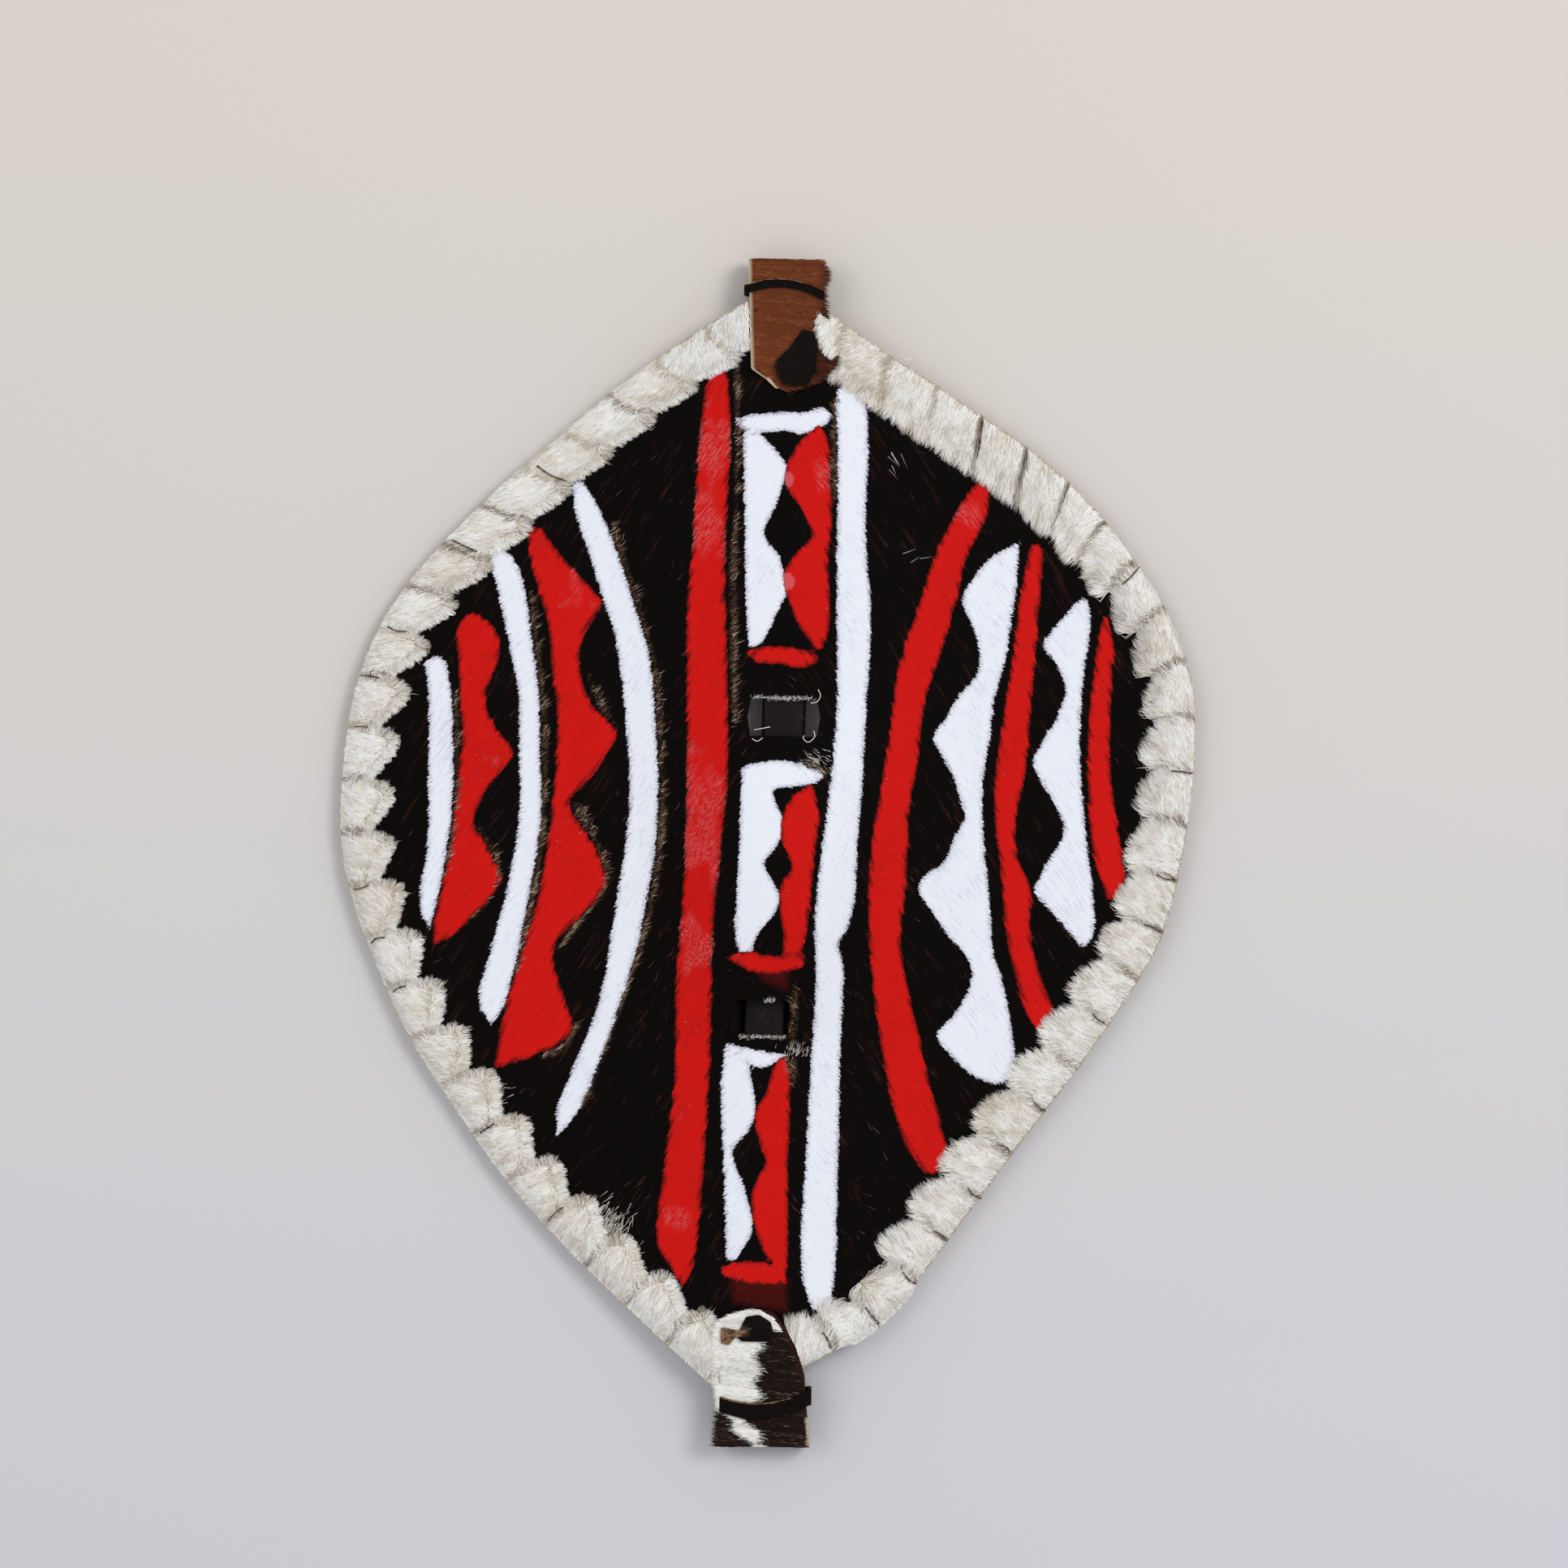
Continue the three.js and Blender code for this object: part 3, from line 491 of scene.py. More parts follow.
class Finish:
    """A procedural material, built node by node."""

    def __init__(self, name, roughness=0.6, specular=0.3):
        self.material = bpy.data.materials.new(name)
        self.material.use_nodes = True
        self.tree = self.material.node_tree
        self.shader = self.tree.nodes["Principled BSDF"]
        self.shader.inputs["Roughness"].default_value = roughness
        self.shader.inputs["Specular IOR Level"].default_value = specular

    def node(self, kind, settings, sockets, output=0):
        """A node of a kind, its settings made first and then its sockets filled or linked."""
        made = self.tree.nodes.new(kind)
        for name, value in settings.items():
            setattr(made, name, value)
        for key, value in sockets.items():
            if isinstance(value, Socket):
                self.tree.links.new(value.output, made.inputs[key])
            else:
                made.inputs[key].default_value = value
        return Socket(self, made.outputs[output])

    def math(self, operation, a, b=0.0):
        return self.node("ShaderNodeMath", {"operation": operation}, {0: a, 1: b})

    def greater(self, a, b):
        return self.math("MAXIMUM", a, b)

    def step(self, value, low, high):
        """0 below low, 1 above high, and a smooth rise between them."""
        return self.node("ShaderNodeMapRange", {"interpolation_type": "SMOOTHSTEP"},
                         {"Value": value, "From Min": low, "From Max": high})

    def blend(self, share, a, b):
        """Colour a where share is 0 and b where it is 1."""
        a, b = (v if isinstance(v, Socket) else (*v, 1) for v in (a, b))
        return self.node("ShaderNodeMix", {"data_type": "RGBA"}, {0: share, 6: a, 7: b}, 2)

    def given(self, name):
        """A value kept on the mesh's own points."""
        return self.node("ShaderNodeAttribute", {"attribute_name": name}, {}, "Fac")

    def place(self):
        return self.node("ShaderNodeTexCoord", {}, {}, "Object")

    def grain(self, angle, long, wide, detail=2, rough=0.55):
        """Noise drawn out along an angle in plan, in degrees, with features of this size in mm."""
        turned = self.node("ShaderNodeMapping", {"vector_type": "TEXTURE"},
                           {"Vector": self.place(), "Rotation": (0, 0, math.radians(angle)),
                            "Scale": (long * MM, wide * MM, wide * MM)})
        return self.node("ShaderNodeTexNoise", {},
                         {"Vector": turned, "Scale": 1, "Detail": detail, "Roughness": rough})

    def link(self, name, socket):
        self.tree.links.new(socket.output, self.shader.inputs[name])

    def bump(self, height, distance, strength=1.0):
        self.link("Normal", self.node("ShaderNodeBump", {},
                                      {"Height": height, "Distance": distance * MM,
                                       "Strength": strength}))


def lying(finish, left_angle, right_angle, *size):
    """Noise along the hair of the panel, which lies outward and down on each side."""
    x = finish.node("ShaderNodeSeparateXYZ", {}, {0: finish.place()}, "X")
    left, right = (finish.grain(angle, *size) for angle in (left_angle, right_angle))
    share = finish.step(x, -25 * MM, 25 * MM)
    return left + (right - left) * share


def painted_hide(colours):
    finish = Finish("Painted black cowhide", 0.7, 0.05)
    fine = lying(finish, 52, 128, 9, 0.6, 2)
    coarse = lying(finish, 58, 122, 26, 2.4, 2)
    bristle = lying(finish, 24, 156, 2.6, 0.42, 2)
    patch = finish.grain(70, 26, 15, 2)
    # The brown streaks are partly real brown hair and partly painted sheen along the lying hair.
    hide = finish.blend(finish.step(coarse * 0.5 + fine * 0.3 + patch * 0.2, 0.54, 0.68),
                        colours.hide_black, colours.hide_brown)
    wobble = (bristle - 0.5) * 4.2 + (fine - 0.5) * 1.6

    clipped = finish.step(finish.given("clipped") + wobble * 1.1 + (patch - 0.5) * 5, -0.6, 1.6)
    clipped_hair = finish.blend(finish.step(bristle, 0.42, 0.62), colours.tan_dark, colours.tan)
    base = finish.blend(clipped * 0.28, hide, clipped_hair)

    white_depth = finish.given("white") + wobble * 0.95 + (coarse - 0.5) * 2.2
    white = finish.step(white_depth, -0.12, 0.12)
    edge = 1 - finish.step(white_depth + (bristle - 0.5) * 5, 0.1, 1.9)
    lines = finish.step(fine * 0.7 + patch * 0.3, 0.52, 0.72) * 0.42
    white_colour = finish.blend(finish.greater(edge * 0.62, lines), colours.white, colours.lilac)
    base = finish.blend(white, base, white_colour)

    red_depth = finish.given("red") + wobble * 0.85 + (coarse - 0.5) * 2.4
    red = finish.step(red_depth, -0.2, 0.3)
    thin = finish.step(finish.given("thin_red") + wobble * 1.5, -2.5, 3.5)
    soaked = 1 - finish.step(red_depth + (coarse - 0.5) * 5, 0.1, 2.2)
    worn = finish.step(finish.given("rubbed") + (patch - 0.5) * 2.4, 0.45, 0.9)
    worn = worn * finish.step(fine * 0.6 + bristle * 0.4, 0.45, 0.6)
    over_white = finish.step(finish.given("overlap") + wobble * 0.1, 0.4, 0.6)
    red_colour = finish.blend(soaked * 0.75, colours.red, colours.red_dark)
    red_colour = finish.blend(finish.step(fine * 0.6 + patch * 0.4, 0.5, 0.72) * 0.3, red_colour,
                              colours.red_dark)
    red_colour = finish.blend(finish.greater(worn * 0.6, over_white * 0.6), red_colour,
                              colours.red_worn)
    specks = finish.step(finish.grain(35, 1.5, 0.8, 0), 0.82, 0.86)
    red_colour = finish.blend(specks * finish.step(patch, 0.5, 0.6) * 0.8, red_colour,
                              colours.red_worn)
    base = finish.blend(thin * 0.8, base, colours.red_dark)
    base = finish.blend(red, base, red_colour)
    finish.link("Base Color", base)
    painted = finish.greater(white, red)
    finish.link("Roughness", 0.72 - painted * 0.1)
    finish.bump(fine * (1 - painted * 0.5) + coarse * 0.5, 0.5, 0.7)
    return finish.material


def flesh_side(colours):
    finish = Finish("Bare flesh side", 0.8, 0.2)
    patches = finish.grain(20, 40, 26, 4, 0.6)
    fibres = finish.grain(75, 9, 1.2, 3)
    base = finish.blend(finish.step(patches, 0.35, 0.7), colours.raw_back, colours.skin)
    finish.link("Base Color", finish.blend(finish.step(fibres, 0.5, 0.8) * 0.5, base,
                                           colours.tan_dark))
    finish.bump(patches + fibres * 0.4, 1.2)
    return finish.material


def pale_fur(colours):
    finish = Finish("Pale rim hair", 0.65, 0.15)
    tone = finish.given("tone")
    # Low tone is partly grey hair and partly painted shade at the roots, in the creases and in the
    # gaps between tufts.
    base = finish.blend(tone, colours.fur_grey_and_shade, colours.fur)
    base = finish.blend(finish.step(tone, 0.7, 1.2), base, colours.fur_light)
    base = finish.blend(finish.given("stain"), base, colours.fur_brown)
    base = finish.blend(finish.given("dark"), base, colours.hide_brown)
    finish.link("Base Color", base)
    return finish.material


def fur_skin(colours):
    finish = Finish("Skin under the rim hair", 0.8, 0.2)
    mottle = finish.grain(30, 5, 2.5, 3)
    # The skin is grey-tan with a quarter of the dark cut-edge colour over all of it: painted shade in
    # the gaps between the hairs.
    base = finish.blend(finish.step(mottle, 0.35, 0.7), colours.fur_grey_and_shade, colours.skin)
    finish.link("Base Color", finish.blend(finish.given("seam"), base, colours.cut_edge))
    finish.bump(mottle, 0.8)
    return finish.material


def flap_hair(name, colours, tones):
    """Hair of a flap, from dark, middle and light colours by the tone kept on each hair."""
    finish = Finish(name, 0.6, 0.1)
    tone = finish.given("tone")
    dark, middle, light = tones
    base = finish.blend(finish.step(tone, 0, 0.5), dark, middle)
    base = finish.blend(finish.step(tone, 0.55, 1.0), base, light)
    finish.link("Base Color", finish.blend(finish.given("dark"), base, colours.hide_brown))
    return finish.material


def flap_skin(name, colours, base):
    """The skin of a flap: hair-coloured on its face, pale along its cut edge."""
    finish = Finish(name, 0.7, 0.1)
    grit = finish.grain(0, 6, 1.0, 3)
    face = finish.blend(finish.step(grit, 0.4, 0.7), base, colours.chestnut_dark)
    finish.link("Base Color", finish.blend(finish.given("bare"), face, colours.skin))
    finish.bump(grit, 0.3)
    return finish.material


def cut_leather(name, colours, base, specular=0.05):
    """Dark thong; where "suede" is kept on it, its pale flesh side shows."""
    finish = Finish(name, 0.6, specular)
    grit = finish.grain(10, 3, 1.4, 3)
    worn = finish.blend(finish.step(grit, 0.5, 0.8) * 0.25, base, colours.tan_dark)
    suede = finish.blend(finish.step(grit, 0.3, 0.7), colours.tan_dark, colours.tan)
    shows = finish.step(finish.given("suede"), 0.45, 0.75)
    finish.link("Base Color", finish.blend(shows, worn, suede))
    finish.bump(grit, 0.3)
    return finish.material


def dark_wood(colours):
    finish = Finish("Dark polished wood", 0.42, 0.14)
    grain = finish.grain(90, 60, 1.4, 4, 0.6)
    finish.link("Base Color", finish.blend(finish.step(grain, 0.35, 0.75), colours.wood,
                                           colours.hide_black))
    finish.bump(grain, 0.3)
    return finish.material


def pale_floor(colours):
    finish = Finish("Studio floor", 0.9, 0.1)
    y = finish.node("ShaderNodeSeparateXYZ", {}, {0: finish.place()}, "Y")
    # Warm at the top and cool at the bottom: a painted change of light across the floor.
    finish.link("Base Color", finish.blend(finish.step(y, -0.45, 0.45), colours.floor_cool_light,
                                           colours.floor_warm_light))
    return finish.material


# ---- mesh helpers --------------------------------------------------------------------------

def deselect_all():
    if bpy.context.mode != "OBJECT":
        bpy.ops.object.mode_set(mode="OBJECT")
    bpy.ops.object.select_all(action="DESELECT")


def to_metres(x, y, z):
    """Places from the long axis, in millimetres, as an array of places in the frame."""
    return np.column_stack(np.broadcast_arrays(x + AXIS_X, y, z + LIFT)).astype(float) * MM


def places_of(obj):
    """A piece's points, in millimetres from the long axis."""
    co = np.empty(len(obj.data.vertices) * 3, np.float32)
    obj.data.vertices.foreach_get("co", co)
    co = co.reshape(-1, 3).astype(float) / MM
    return co[:, 0] - AXIS_X, co[:, 1], co[:, 2] - LIFT


def put_places(obj, x, y, z):
    obj.data.vertices.foreach_set("co", to_metres(x, y, z).astype(np.float32).ravel())
    obj.data.update()


def keep_value(obj, name, values):
    """Keeps one value for each point of a piece, for its finish to read."""
    made = obj.data.attributes.new(name, "FLOAT", "POINT")
    made.data.foreach_set("value", np.asarray(values, np.float32))


def grid(name, across, along):
    """A flat sheet of cells, whose points a caller then puts in place, row by row."""
    deselect_all()
    bpy.ops.mesh.primitive_grid_add(x_subdivisions=across, y_subdivisions=along, size=1)
    obj = bpy.context.object
    obj.name = name
    return obj


def grid_shares(obj):
    """Where each point of a fresh sheet lies, 0 to 1 across and along it."""
    co = np.empty(len(obj.data.vertices) * 3, np.float32)
    obj.data.vertices.foreach_get("co", co)
    co = co.reshape(-1, 3).astype(float)
    return co[:, 0] + 0.5, co[:, 1] + 0.5


def plate(name, outline, low, high):
    """A closed plate over an outline in plan, raised from low to high."""
    deselect_all()
    bpy.ops.mesh.primitive_circle_add(vertices=len(outline), radius=1, fill_type="NGON")
    obj = bpy.context.object
    obj.name = name
    x, y = np.array(outline, float).T
    put_places(obj, x, y, np.full(len(outline), float(low)))
    raise_sheet(obj, (0, 0, high - low))
    return obj


def raise_sheet(obj, move):
    """Gives a sheet thickness by drawing all its faces along a direction, in millimetres."""
    bpy.context.view_layer.objects.active = obj
    obj.select_set(True)
    bpy.ops.object.mode_set(mode="EDIT")
    bpy.ops.mesh.select_all(action="SELECT")
    bpy.ops.mesh.extrude_region_move(
        TRANSFORM_OT_translate={"value": tuple(v * MM for v in move)})
    bpy.ops.mesh.select_all(action="SELECT")
    bpy.ops.mesh.normals_make_consistent(inside=False)
    bpy.ops.object.mode_set(mode="OBJECT")


def round_edges(obj, width, segments=2, angle=40):
    """Rounds a piece's sharp edges with a bevel that is applied at once."""
    apply_modifier(obj, "BEVEL", width=width * MM, segments=segments, limit_method="ANGLE",
                   angle_limit=math.radians(angle))


def apply_modifier(obj, kind, **settings):
    deselect_all()
    obj.select_set(True)
    bpy.context.view_layer.objects.active = obj
    made = obj.modifiers.new(kind.title(), kind)
    for name, value in settings.items():
        setattr(made, name, value)
    bpy.ops.object.modifier_apply(modifier=made.name)


def cut_away(obj, cutter):
    apply_modifier(obj, "BOOLEAN", operation="DIFFERENCE", solver="EXACT", object=cutter)
    bpy.data.objects.remove(cutter)


def edit_all(operator, **values):
    """Runs an edit-mode operator on all of the active piece."""
    bpy.ops.object.mode_set(mode="EDIT")
    bpy.ops.mesh.select_all(action="SELECT")
    operator(**values)
    bpy.ops.object.mode_set(mode="OBJECT")


def join(first, *others):
    deselect_all()
    for obj in (first, *others):
        obj.select_set(True)
    bpy.context.view_layer.objects.active = first
    bpy.ops.object.join()
    return first


def smooth(obj, angle=50):
    deselect_all()
    obj.select_set(True)
    bpy.context.view_layer.objects.active = obj
    bpy.ops.object.shade_smooth_by_angle(angle=math.radians(angle))


def hand_over(obj, slot, *nodes, materials=()):
    """Ties a finished piece to the frame and hides the solids it stands for; its slot is not used."""
    for material in materials:
        obj.data.materials.append(material)
    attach(obj, "root")
    if nodes:
        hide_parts(*nodes)
    return obj


# ---- hair ----------------------------------------------------------------------------------

class Hairs:
    """Hair blades: each a tapering strip over a root, a middle and a tip, in millimetres."""

    def __init__(self, root, middle, tip, width, normal, **values):
        self.lines = [np.asarray(p, float) for p in (root, middle, tip)]
        self.width = np.broadcast_to(width, len(self.lines[0])).astype(float)
        self.normal = np.broadcast_to(normal, self.lines[0].shape).astype(float)
        self.values = values

    def piece(self, name, start=0, step=1):
        """Every step-th blade, as one mesh."""
        root, middle, tip = (line[start::step] for line in self.lines)
        width, normal = self.width[start::step], self.normal[start::step]
        count = len(root)
        across = np.cross(tip - root, normal)
        across /= np.linalg.norm(across, axis=1)[:, None] + 1e-9
        wide = across * width[:, None] / 2
        points = np.stack([root - wide, root + wide, middle - wide * 0.75, middle + wide * 0.75,
                           tip], axis=1)
        corners = np.array([0, 1, 3, 0, 3, 2, 2, 3, 4])
        loops = (np.arange(count)[:, None] * 5 + corners).ravel()
        mesh = bpy.data.meshes.new(name)
        mesh.vertices.add(count * 5)
        flat = points.reshape(-1, 3)
        mesh.vertices.foreach_set(
            "co", to_metres(flat[:, 0], flat[:, 1], flat[:, 2]).astype(np.float32).ravel())
        mesh.loops.add(len(loops))
        mesh.loops.foreach_set("vertex_index", loops.astype(np.int32))
        mesh.polygons.add(count * 3)
        mesh.polygons.foreach_set("loop_start", np.arange(0, len(loops), 3, dtype=np.int32))
        mesh.update(calc_edges=True)
        mesh.validate()
        obj = bpy.data.objects.new(name, mesh)
        bpy.context.scene.collection.objects.link(obj)
        for key, value in self.values.items():
            value = np.broadcast_to(value, (len(self.lines[0]),) + np.shape(value)[1:])[start::step]
            if value.ndim == 1:
                value = np.repeat(value[:, None], 5, axis=1)
            keep_value(obj, key, value.ravel())
        return obj


def gathered(places, tips, size, amount):
    """Draws hair tips together in tufts: hairs that root in one cell lean to its mean tip."""
    cells = np.floor(places / size).astype(np.int64)
    key = cells[:, 0] * 100003 + cells[:, 1]
    _, group = np.unique(key, return_inverse=True)
    count = np.bincount(group)
    mean = np.column_stack([np.bincount(group, tips[:, k]) / count for k in range(3)])
    return tips + (mean[group] - tips) * amount, group


# How each turn of the binding swells between two notches: share of the turn, reach, half height.
SWELL = {
    "left": ([0, 0.06, 0.14, 0.25, 0.5, 0.75, 0.95, 1], [0, 0.25, 0.8, 1, 0.75, 0.35, 0.05, 0],
             [3.4, 5.4, 6.8, 7.2, 7.2, 6.8, 5.2, 3.4]),
    "right": ([0, 0.05, 0.25, 0.5, 0.75, 0.88, 0.95, 1], [0, 0.1, 0.42, 0.85, 1, 0.9, 0.4, 0],
              [3.4, 5.2, 6.8, 7.2, 7.2, 6.8, 5.4, 3.4]),
}
# The way the rim's hair lies in plan, in degrees, by the share of the rim from the top end.
HAIR_LIE = {
    "left": ([0.02, 0.10, 0.2, 0.3, 0.42, 0.55, 0.68, 0.75, 0.85, 0.95],
             [258, 215, 202, 180, 150, 152, 168, 215, 233, 246]),
    "right": ([0.02, 0.12, 0.2, 0.25, 0.29, 0.33, 0.5, 0.53, 0.6, 0.7, 0.8, 0.88, 0.91, 0.94,
               0.97],
              [186, 221, 246, 225, 140, 100, 100, 140, 150, 155, 160, 120, -50, -50, 100]),
}


def swell(side, t, trim):
    """Width and half height of the binding's skin at a share of the rim."""
    within = (t * TURNS) % 1
    share, reach, half = SWELL[side]
    out = np.interp(within, share, reach)
    width = TOOTH_OUT[side] - (1 - out) * notch[side](t)
    return width - 2 * trim, np.interp(within, share, half) - trim


def binding_shift(side, t, inward):
    """Change of rim share that gives the lacing turns their lean."""
    _, y = rim[side].point(t, 0)
    return lean[side](y) * (inward / 24 - 0.5) / rim[side].length


def binding_height(side, t, inward, face, trim):
    """Height of the binding's skin over its place in plan, on the front (1) or the back (-1)."""
    width, half = swell(side, t, trim)
    inset = 0.6 + trim
    reach = (inward - inset) / (width - inset) * 2 - 1
    x, y = rim[side].point(t + binding_shift(side, t, inward), inward)
    rise = half * np.sqrt(np.clip(1 - reach**2, 0, 1))
    over_panel = np.where(reach > 0, HIDE / 2 + 0.35, 0.0)
    return x, y, hide_height(x, y) + face * np.maximum(rise, over_panel)


def inside(x, y, outline):
    return inside_depth(np.asarray(x), np.asarray(y), [np.array(outline, float)]) > -0.9


# Along the inner edge the hair turns towards the panel: within the first distance wholly, past
# the second not at all. On the left that makes a parting.
EDGE_TURN = {"left": (2.4, 4.4), "right": (0.5, 9)}
# Share of the turns whose dark cut edge shows between the hairs, by share of the rim.
CUT_SHOWS = {"left": ([0, 0.3, 0.5, 1], [0.3, 0.8, 0.4, 0.6]),
             "right": ([0, 0.25, 0.4, 1], [0.3, 0.6, 1, 1])}


# Down the rim from here, the seams between turns are bare of hair this far to each side, as a
# share of a turn, and a strip of skin shows.
BARE_FROM = {"left": 0.72, "right": 0.4}
BARE_SEAM = 0.035
# Along the inner edge, how far hair swings towards the panel, how much shorter it is, and where
# in a turn its tooth stands.
EDGE_PULL = {"left": 1.0, "right": 0.4}
EDGE_SHORTER = {"left": 0.42, "right": -0.15}
TOOTH_AT = {"left": 0.2, "right": 0.62}
CUT_LIFT = 3.2  # the cut edges between turns stand this far over the binding


def rim_hairs(side, count, face, sizes, seed):
    """Hairs of one binding on its front or its back."""
    rng = np.random.default_rng(seed)
    this = rim[side]
    trim = sizes.core_inset / MM
    t = rng.uniform(0.001, 0.999, count)
    turn = np.floor(t * TURNS).astype(int)
    within = t * TURNS - turn
    width, _ = swell(side, t, trim)
    inset = 0.6 + trim
    inward = inset + (width - inset) * rng.uniform(0, 1, count)
    tx, ty = this.tangent(t)
    ix, iy = SIGN[side] * ty, -SIGN[side] * tx

    # The edge towards the panel is followed by the hair that roots near it.
    step = 0.0015
    ahead, behind = swell(side, t + step, trim)[0], swell(side, t - step, trim)[0]
    climb = np.clip((ahead - behind) / (2 * step * this.length), -3, 3)
    to_panel = np.arctan2(iy - climb * ty, ix - climb * tx)
    lie = np.radians(np.interp(t, *HAIR_LIE[side]) + rng.normal(0, 9, TURNS + 1)[turn])
    near, far = EDGE_TURN[side]
    depth = (width - inward) / np.sqrt(1 + climb**2)
    turned = 1 - smooth_step(near, far, depth + rng.normal(0, 0.6, count))
    swing = (to_panel - lie + math.pi) % (2 * math.pi) - math.pi
    angle = lie + swing * turned * EDGE_PULL[side] + rng.normal(0, 0.13, count)
    angle = angle + np.where(turned > 0.5, rng.normal(0, 0.2, count), 0)

    reach = sizes.fur_length / MM * rng.uniform(0.55, 1.3, count)
    reach = reach * (1 - EDGE_SHORTER[side] * turned) * np.where(inward < 4, 0.7, 1)
    dx, dy = np.cos(angle), np.sin(angle)
    down = dx * tx + dy * ty
    across = dx * ix + dy * iy
    bend = rng.normal(0, 0.14, count)
    lift = rng.uniform(0.3, 1.4, count)
    fuzz = rng.exponential(0.7, count)
    points = []
    for share, raised in ((0, 0.0), (0.55, 0.55), (1, 0.8)):
        move = reach * share
        swerve = bend * move * share
        here_t = t + (down * move - across * swerve) / this.length
        here_in = np.maximum(inward + across * move + down * swerve, -fuzz * share)
        x, y, z = binding_height(side, here_t, here_in, face, trim)
        points.append(np.column_stack([x, y, z + face * raised * lift]))
    root, middle, tip = points
    tufts = np.column_stack([t * this.length + turn * 7, inward + 40 * (turned > 0.5)])
    tip, group = gathered(tufts, tip, 3.2, 0.68)
    for p in (root, middle, tip):
        p[:, 2] = np.maximum(p[:, 2], 0.35 - LIFT)

    cell_tone = rng.normal(0, 0.15, group.max() + 1)[group]
    turn_tone = rng.normal(0, 0.09, TURNS + 1)[turn]
    tone = 0.98 + cell_tone + turn_tone + rng.normal(0, 0.1, count)
    # About one hair in twelve is made dark and thin: painted shade for the gaps between tufts.
    gap_shade = rng.uniform(0, 1, count) < 0.085
    tone = np.where(gap_shade, rng.uniform(-0.1, 0.35, count), tone)
    seam = np.minimum(within, 1 - within)
    shows = rng.uniform(0, 1, TURNS + 1) < np.interp(np.arange(TURNS + 1) / TURNS,
                                                     *CUT_SHOWS[side])
    edge_turn = np.where(within < 0.5, turn, np.minimum(turn + 1, TURNS))
    # Hairs near the seams between turns are darkened: painted shade in the creases between the lobes.
    crease = 1 - smooth_step(0.015, 0.085, seam + rng.normal(0, 0.012, count))
    tone = tone - crease * 0.65
    dark = crease * shows[edge_turn] * rng.uniform(0.3, 1, count) * (tone < 0.75)
    at_tooth = turned * np.exp(-((within - TOOTH_AT[side]) / 0.12)**2)
    stain = rng.normal(-0.13, 0.2, count) + 0.25 * crease + at_tooth * rng.uniform(0, 0.8, count)
    stain = np.clip(stain, 0, 0.9)
    tip_dark = np.where(rng.uniform(0, 1, count) < 0.05 + 0.2 * at_tooth,
                        rng.uniform(0.3, 0.9, count), 0)
    # Each hair is darker at its root, painted shade under the hairs above it, and a little lighter at
    # its tip.
    tones = np.column_stack([tone - 0.14, tone - 0.14, tone, tone, tone + 0.08])
    dark = np.column_stack([dark, dark, dark * 0.8, dark * 0.8, np.maximum(dark * 0.6, tip_dark)])
    bare = (seam < BARE_SEAM) & shows[edge_turn] & (t > BARE_FROM[side]) & (face > 0)
    keep = ~inside(root[:, 0], root[:, 1], TOP_FLAP) & ~inside(root[:, 0], root[:, 1], BOTTOM_FLAP)
    keep &= ~bare | (rng.uniform(0, 1, count) < 0.25)
    chosen = np.nonzero(keep)[0]
    slope = (inward - width / 2) / (width / 2)
    normal = np.column_stack([ix * slope, iy * slope, np.full(count, float(face))])
    wide = sizes.fur_width / MM * rng.uniform(0.7, 1.2, count) * np.where(gap_shade, 0.7, 1)
    return Hairs(root[chosen], middle[chosen], tip[chosen], wide[chosen], normal[chosen],
                 tone=np.clip(tones[chosen], 0, 1.3), stain=stain[chosen], dark=dark[chosen])


def cut_edges(side, sizes, seed):
    """The dark dried edges of the strip, seen as lines across the rim between its turns."""
    rng = np.random.default_rng(seed)
    trim = sizes.core_inset / MM
    rows, steps = [], 22
    for turn in range(1, TURNS):
        share = turn / TURNS
        if rng.uniform() > np.interp(share, *CUT_SHOWS[side]) * 0.75:
            continue
        width, _ = swell(side, share, trim)
        start, stop = rng.uniform(0.5, 5), width * rng.uniform(0.75, 1.05)
        inward = np.linspace(start, max(stop, start + 6), steps)
        bow = rng.uniform(-0.05, 0.05) * np.sin(np.linspace(0, math.pi, steps))
        t = share + (rng.uniform(-0.02, 0.02) + bow) / TURNS
        x, y, z = binding_height(side, t, inward, 1, trim)
        rows.append(np.column_stack([x, y, z + CUT_LIFT + rng.normal(0, 0.15, steps)]))
    roots, middles, tips = (np.vstack([row[k:steps - 2 + k] for row in rows]) for k in range(3))
    count = len(roots)
    return Hairs(roots, middles, tips, rng.uniform(0.6, 1.3, count), (0, 0, 1),
                 tone=np.zeros(count), stain=np.full(count, 0.4),
                 dark=rng.uniform(0.5, 1, count))


